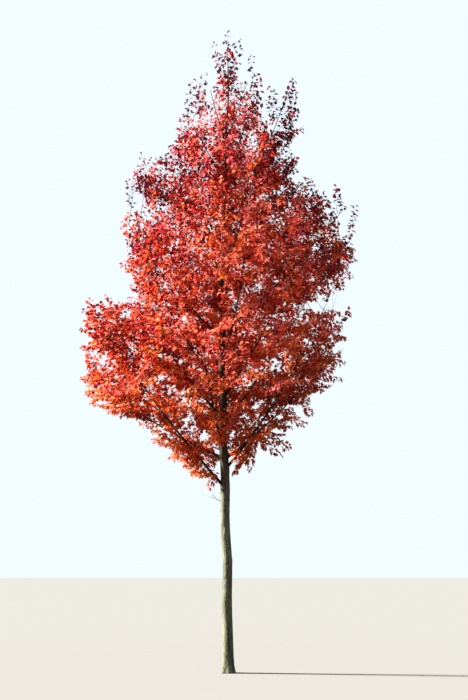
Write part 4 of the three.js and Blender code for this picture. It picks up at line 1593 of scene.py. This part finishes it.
def lay_floor():
    bm = bmesh.new()
    bmesh.ops.create_grid(bm, x_segments=1, y_segments=1, size=FLOOR_HALF)
    floor = add_object("floor", mesh_of(bm, "floor"))
    pale, tree = new_material("pale_floor")
    shown = add_node(tree, "BsdfDiffuse", {"Color": FLOOR_COLOUR})
    bounced = add_node(tree, "BsdfDiffuse", {"Color": FLOOR_BOUNCE})
    show_or_shine(tree, shown, bounced, "Material Output")
    floor.data.materials.append(pale)


def light_sky(scene, sizes):
    world = bpy.data.worlds.new("studio")
    scene.world = world
    world.use_nodes = True
    tree = world.node_tree
    sky = tree.nodes["Background"]
    wire(tree, sky, {"Color": SKY_COLOUR, "Strength": sizes.sky_strength})
    backdrop = add_node(tree, "Background", {"Color": BACKDROP_COLOUR, "Strength": sizes.backdrop_strength})
    show_or_shine(tree, backdrop, sky, "World Output")


def light_key(sizes):
    key = add_object("key_light", bpy.data.lights.new("key_light", "SUN"))
    key.data.energy = sizes.key_strength
    key.data.angle = math.radians(SUN_WIDTH)
    key.data.color = SUN_COLOUR
    level = math.cos(sizes.sun_elevation)
    shine = Vector((level * math.cos(sizes.sun_behind), -level * math.sin(sizes.sun_behind), 0))
    shine.z = -math.sin(sizes.sun_elevation)
    key.rotation_euler = shine.to_track_quat("-Z", "Y").to_euler()


class MAPLE_OT_stage(bpy.types.Operator):
    """Set a pale floor, soft studio light and the camera at the photograph's angle"""

    bl_idname = "maple.stage"
    bl_label = "Set Stage"

    def execute(self, context):
        scene = context.scene
        sizes = scene.maple_stage
        lay_floor()
        light_sky(scene, sizes)
        light_key(sizes)
        camera = add_object("camera", bpy.data.cameras.new("camera"))
        camera.data.sensor_width = SENSOR
        camera.data.lens = LENS
        camera.location = (sizes.sideways, -sizes.distance, sizes.eye_height)
        camera.rotation_euler = (math.pi / 2 + sizes.tilt, 0, 0)
        scene.camera = camera
        scene.view_settings.view_transform = "Standard"
        scene.view_settings.look = "Medium High Contrast"
        return {"FINISHED"}


class MAPLE_PT_panel(bpy.types.Panel):
    """Every size and colour, and a button for each operator"""

    bl_label = "Red Maple Tree"
    bl_idname = "MAPLE_PT_panel"
    bl_space_type = "VIEW_3D"
    bl_region_type = "UI"
    bl_category = "Maple"

    def draw(self, context):
        for name in GROUPS:
            group = getattr(context.scene, name)
            box = self.layout.box()
            for prop in group.bl_rna.properties:
                if not prop.is_readonly and prop.identifier != "name":
                    box.prop(group, prop.identifier)
        for operator in OPERATORS:
            self.layout.operator(operator.bl_idname)


OPERATORS = (
    MAPLE_OT_trunk,
    MAPLE_OT_boughs,
    MAPLE_OT_twigs,
    MAPLE_OT_dead_twig,
    MAPLE_OT_leaves,
    MAPLE_OT_stage,
)
GROUPS = {
    "maple_bark": BarkSizes,
    "maple_leaves": LeafSizes,
    "maple_tints": LeafTints,
    "maple_stage": StageSizes,
}


def register():
    for name, group in GROUPS.items():
        bpy.utils.register_class(group)
        setattr(bpy.types.Scene, name, PointerProperty(type=group))
    for operator in OPERATORS:
        bpy.utils.register_class(operator)
    bpy.utils.register_class(MAPLE_PT_panel)


def unregister():
    bpy.utils.unregister_class(MAPLE_PT_panel)
    for operator in reversed(OPERATORS):
        bpy.utils.unregister_class(operator)
    for name, group in reversed(GROUPS.items()):
        delattr(bpy.types.Scene, name)
        bpy.utils.unregister_class(group)


def main():
    register()
    bpy.ops.maple.trunk()
    bpy.ops.maple.boughs()
    bpy.ops.maple.twigs()
    bpy.ops.maple.dead_twig()
    bpy.ops.maple.leaves()
    bpy.ops.maple.stage()
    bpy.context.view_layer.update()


if __name__ == "__main__":
    main()
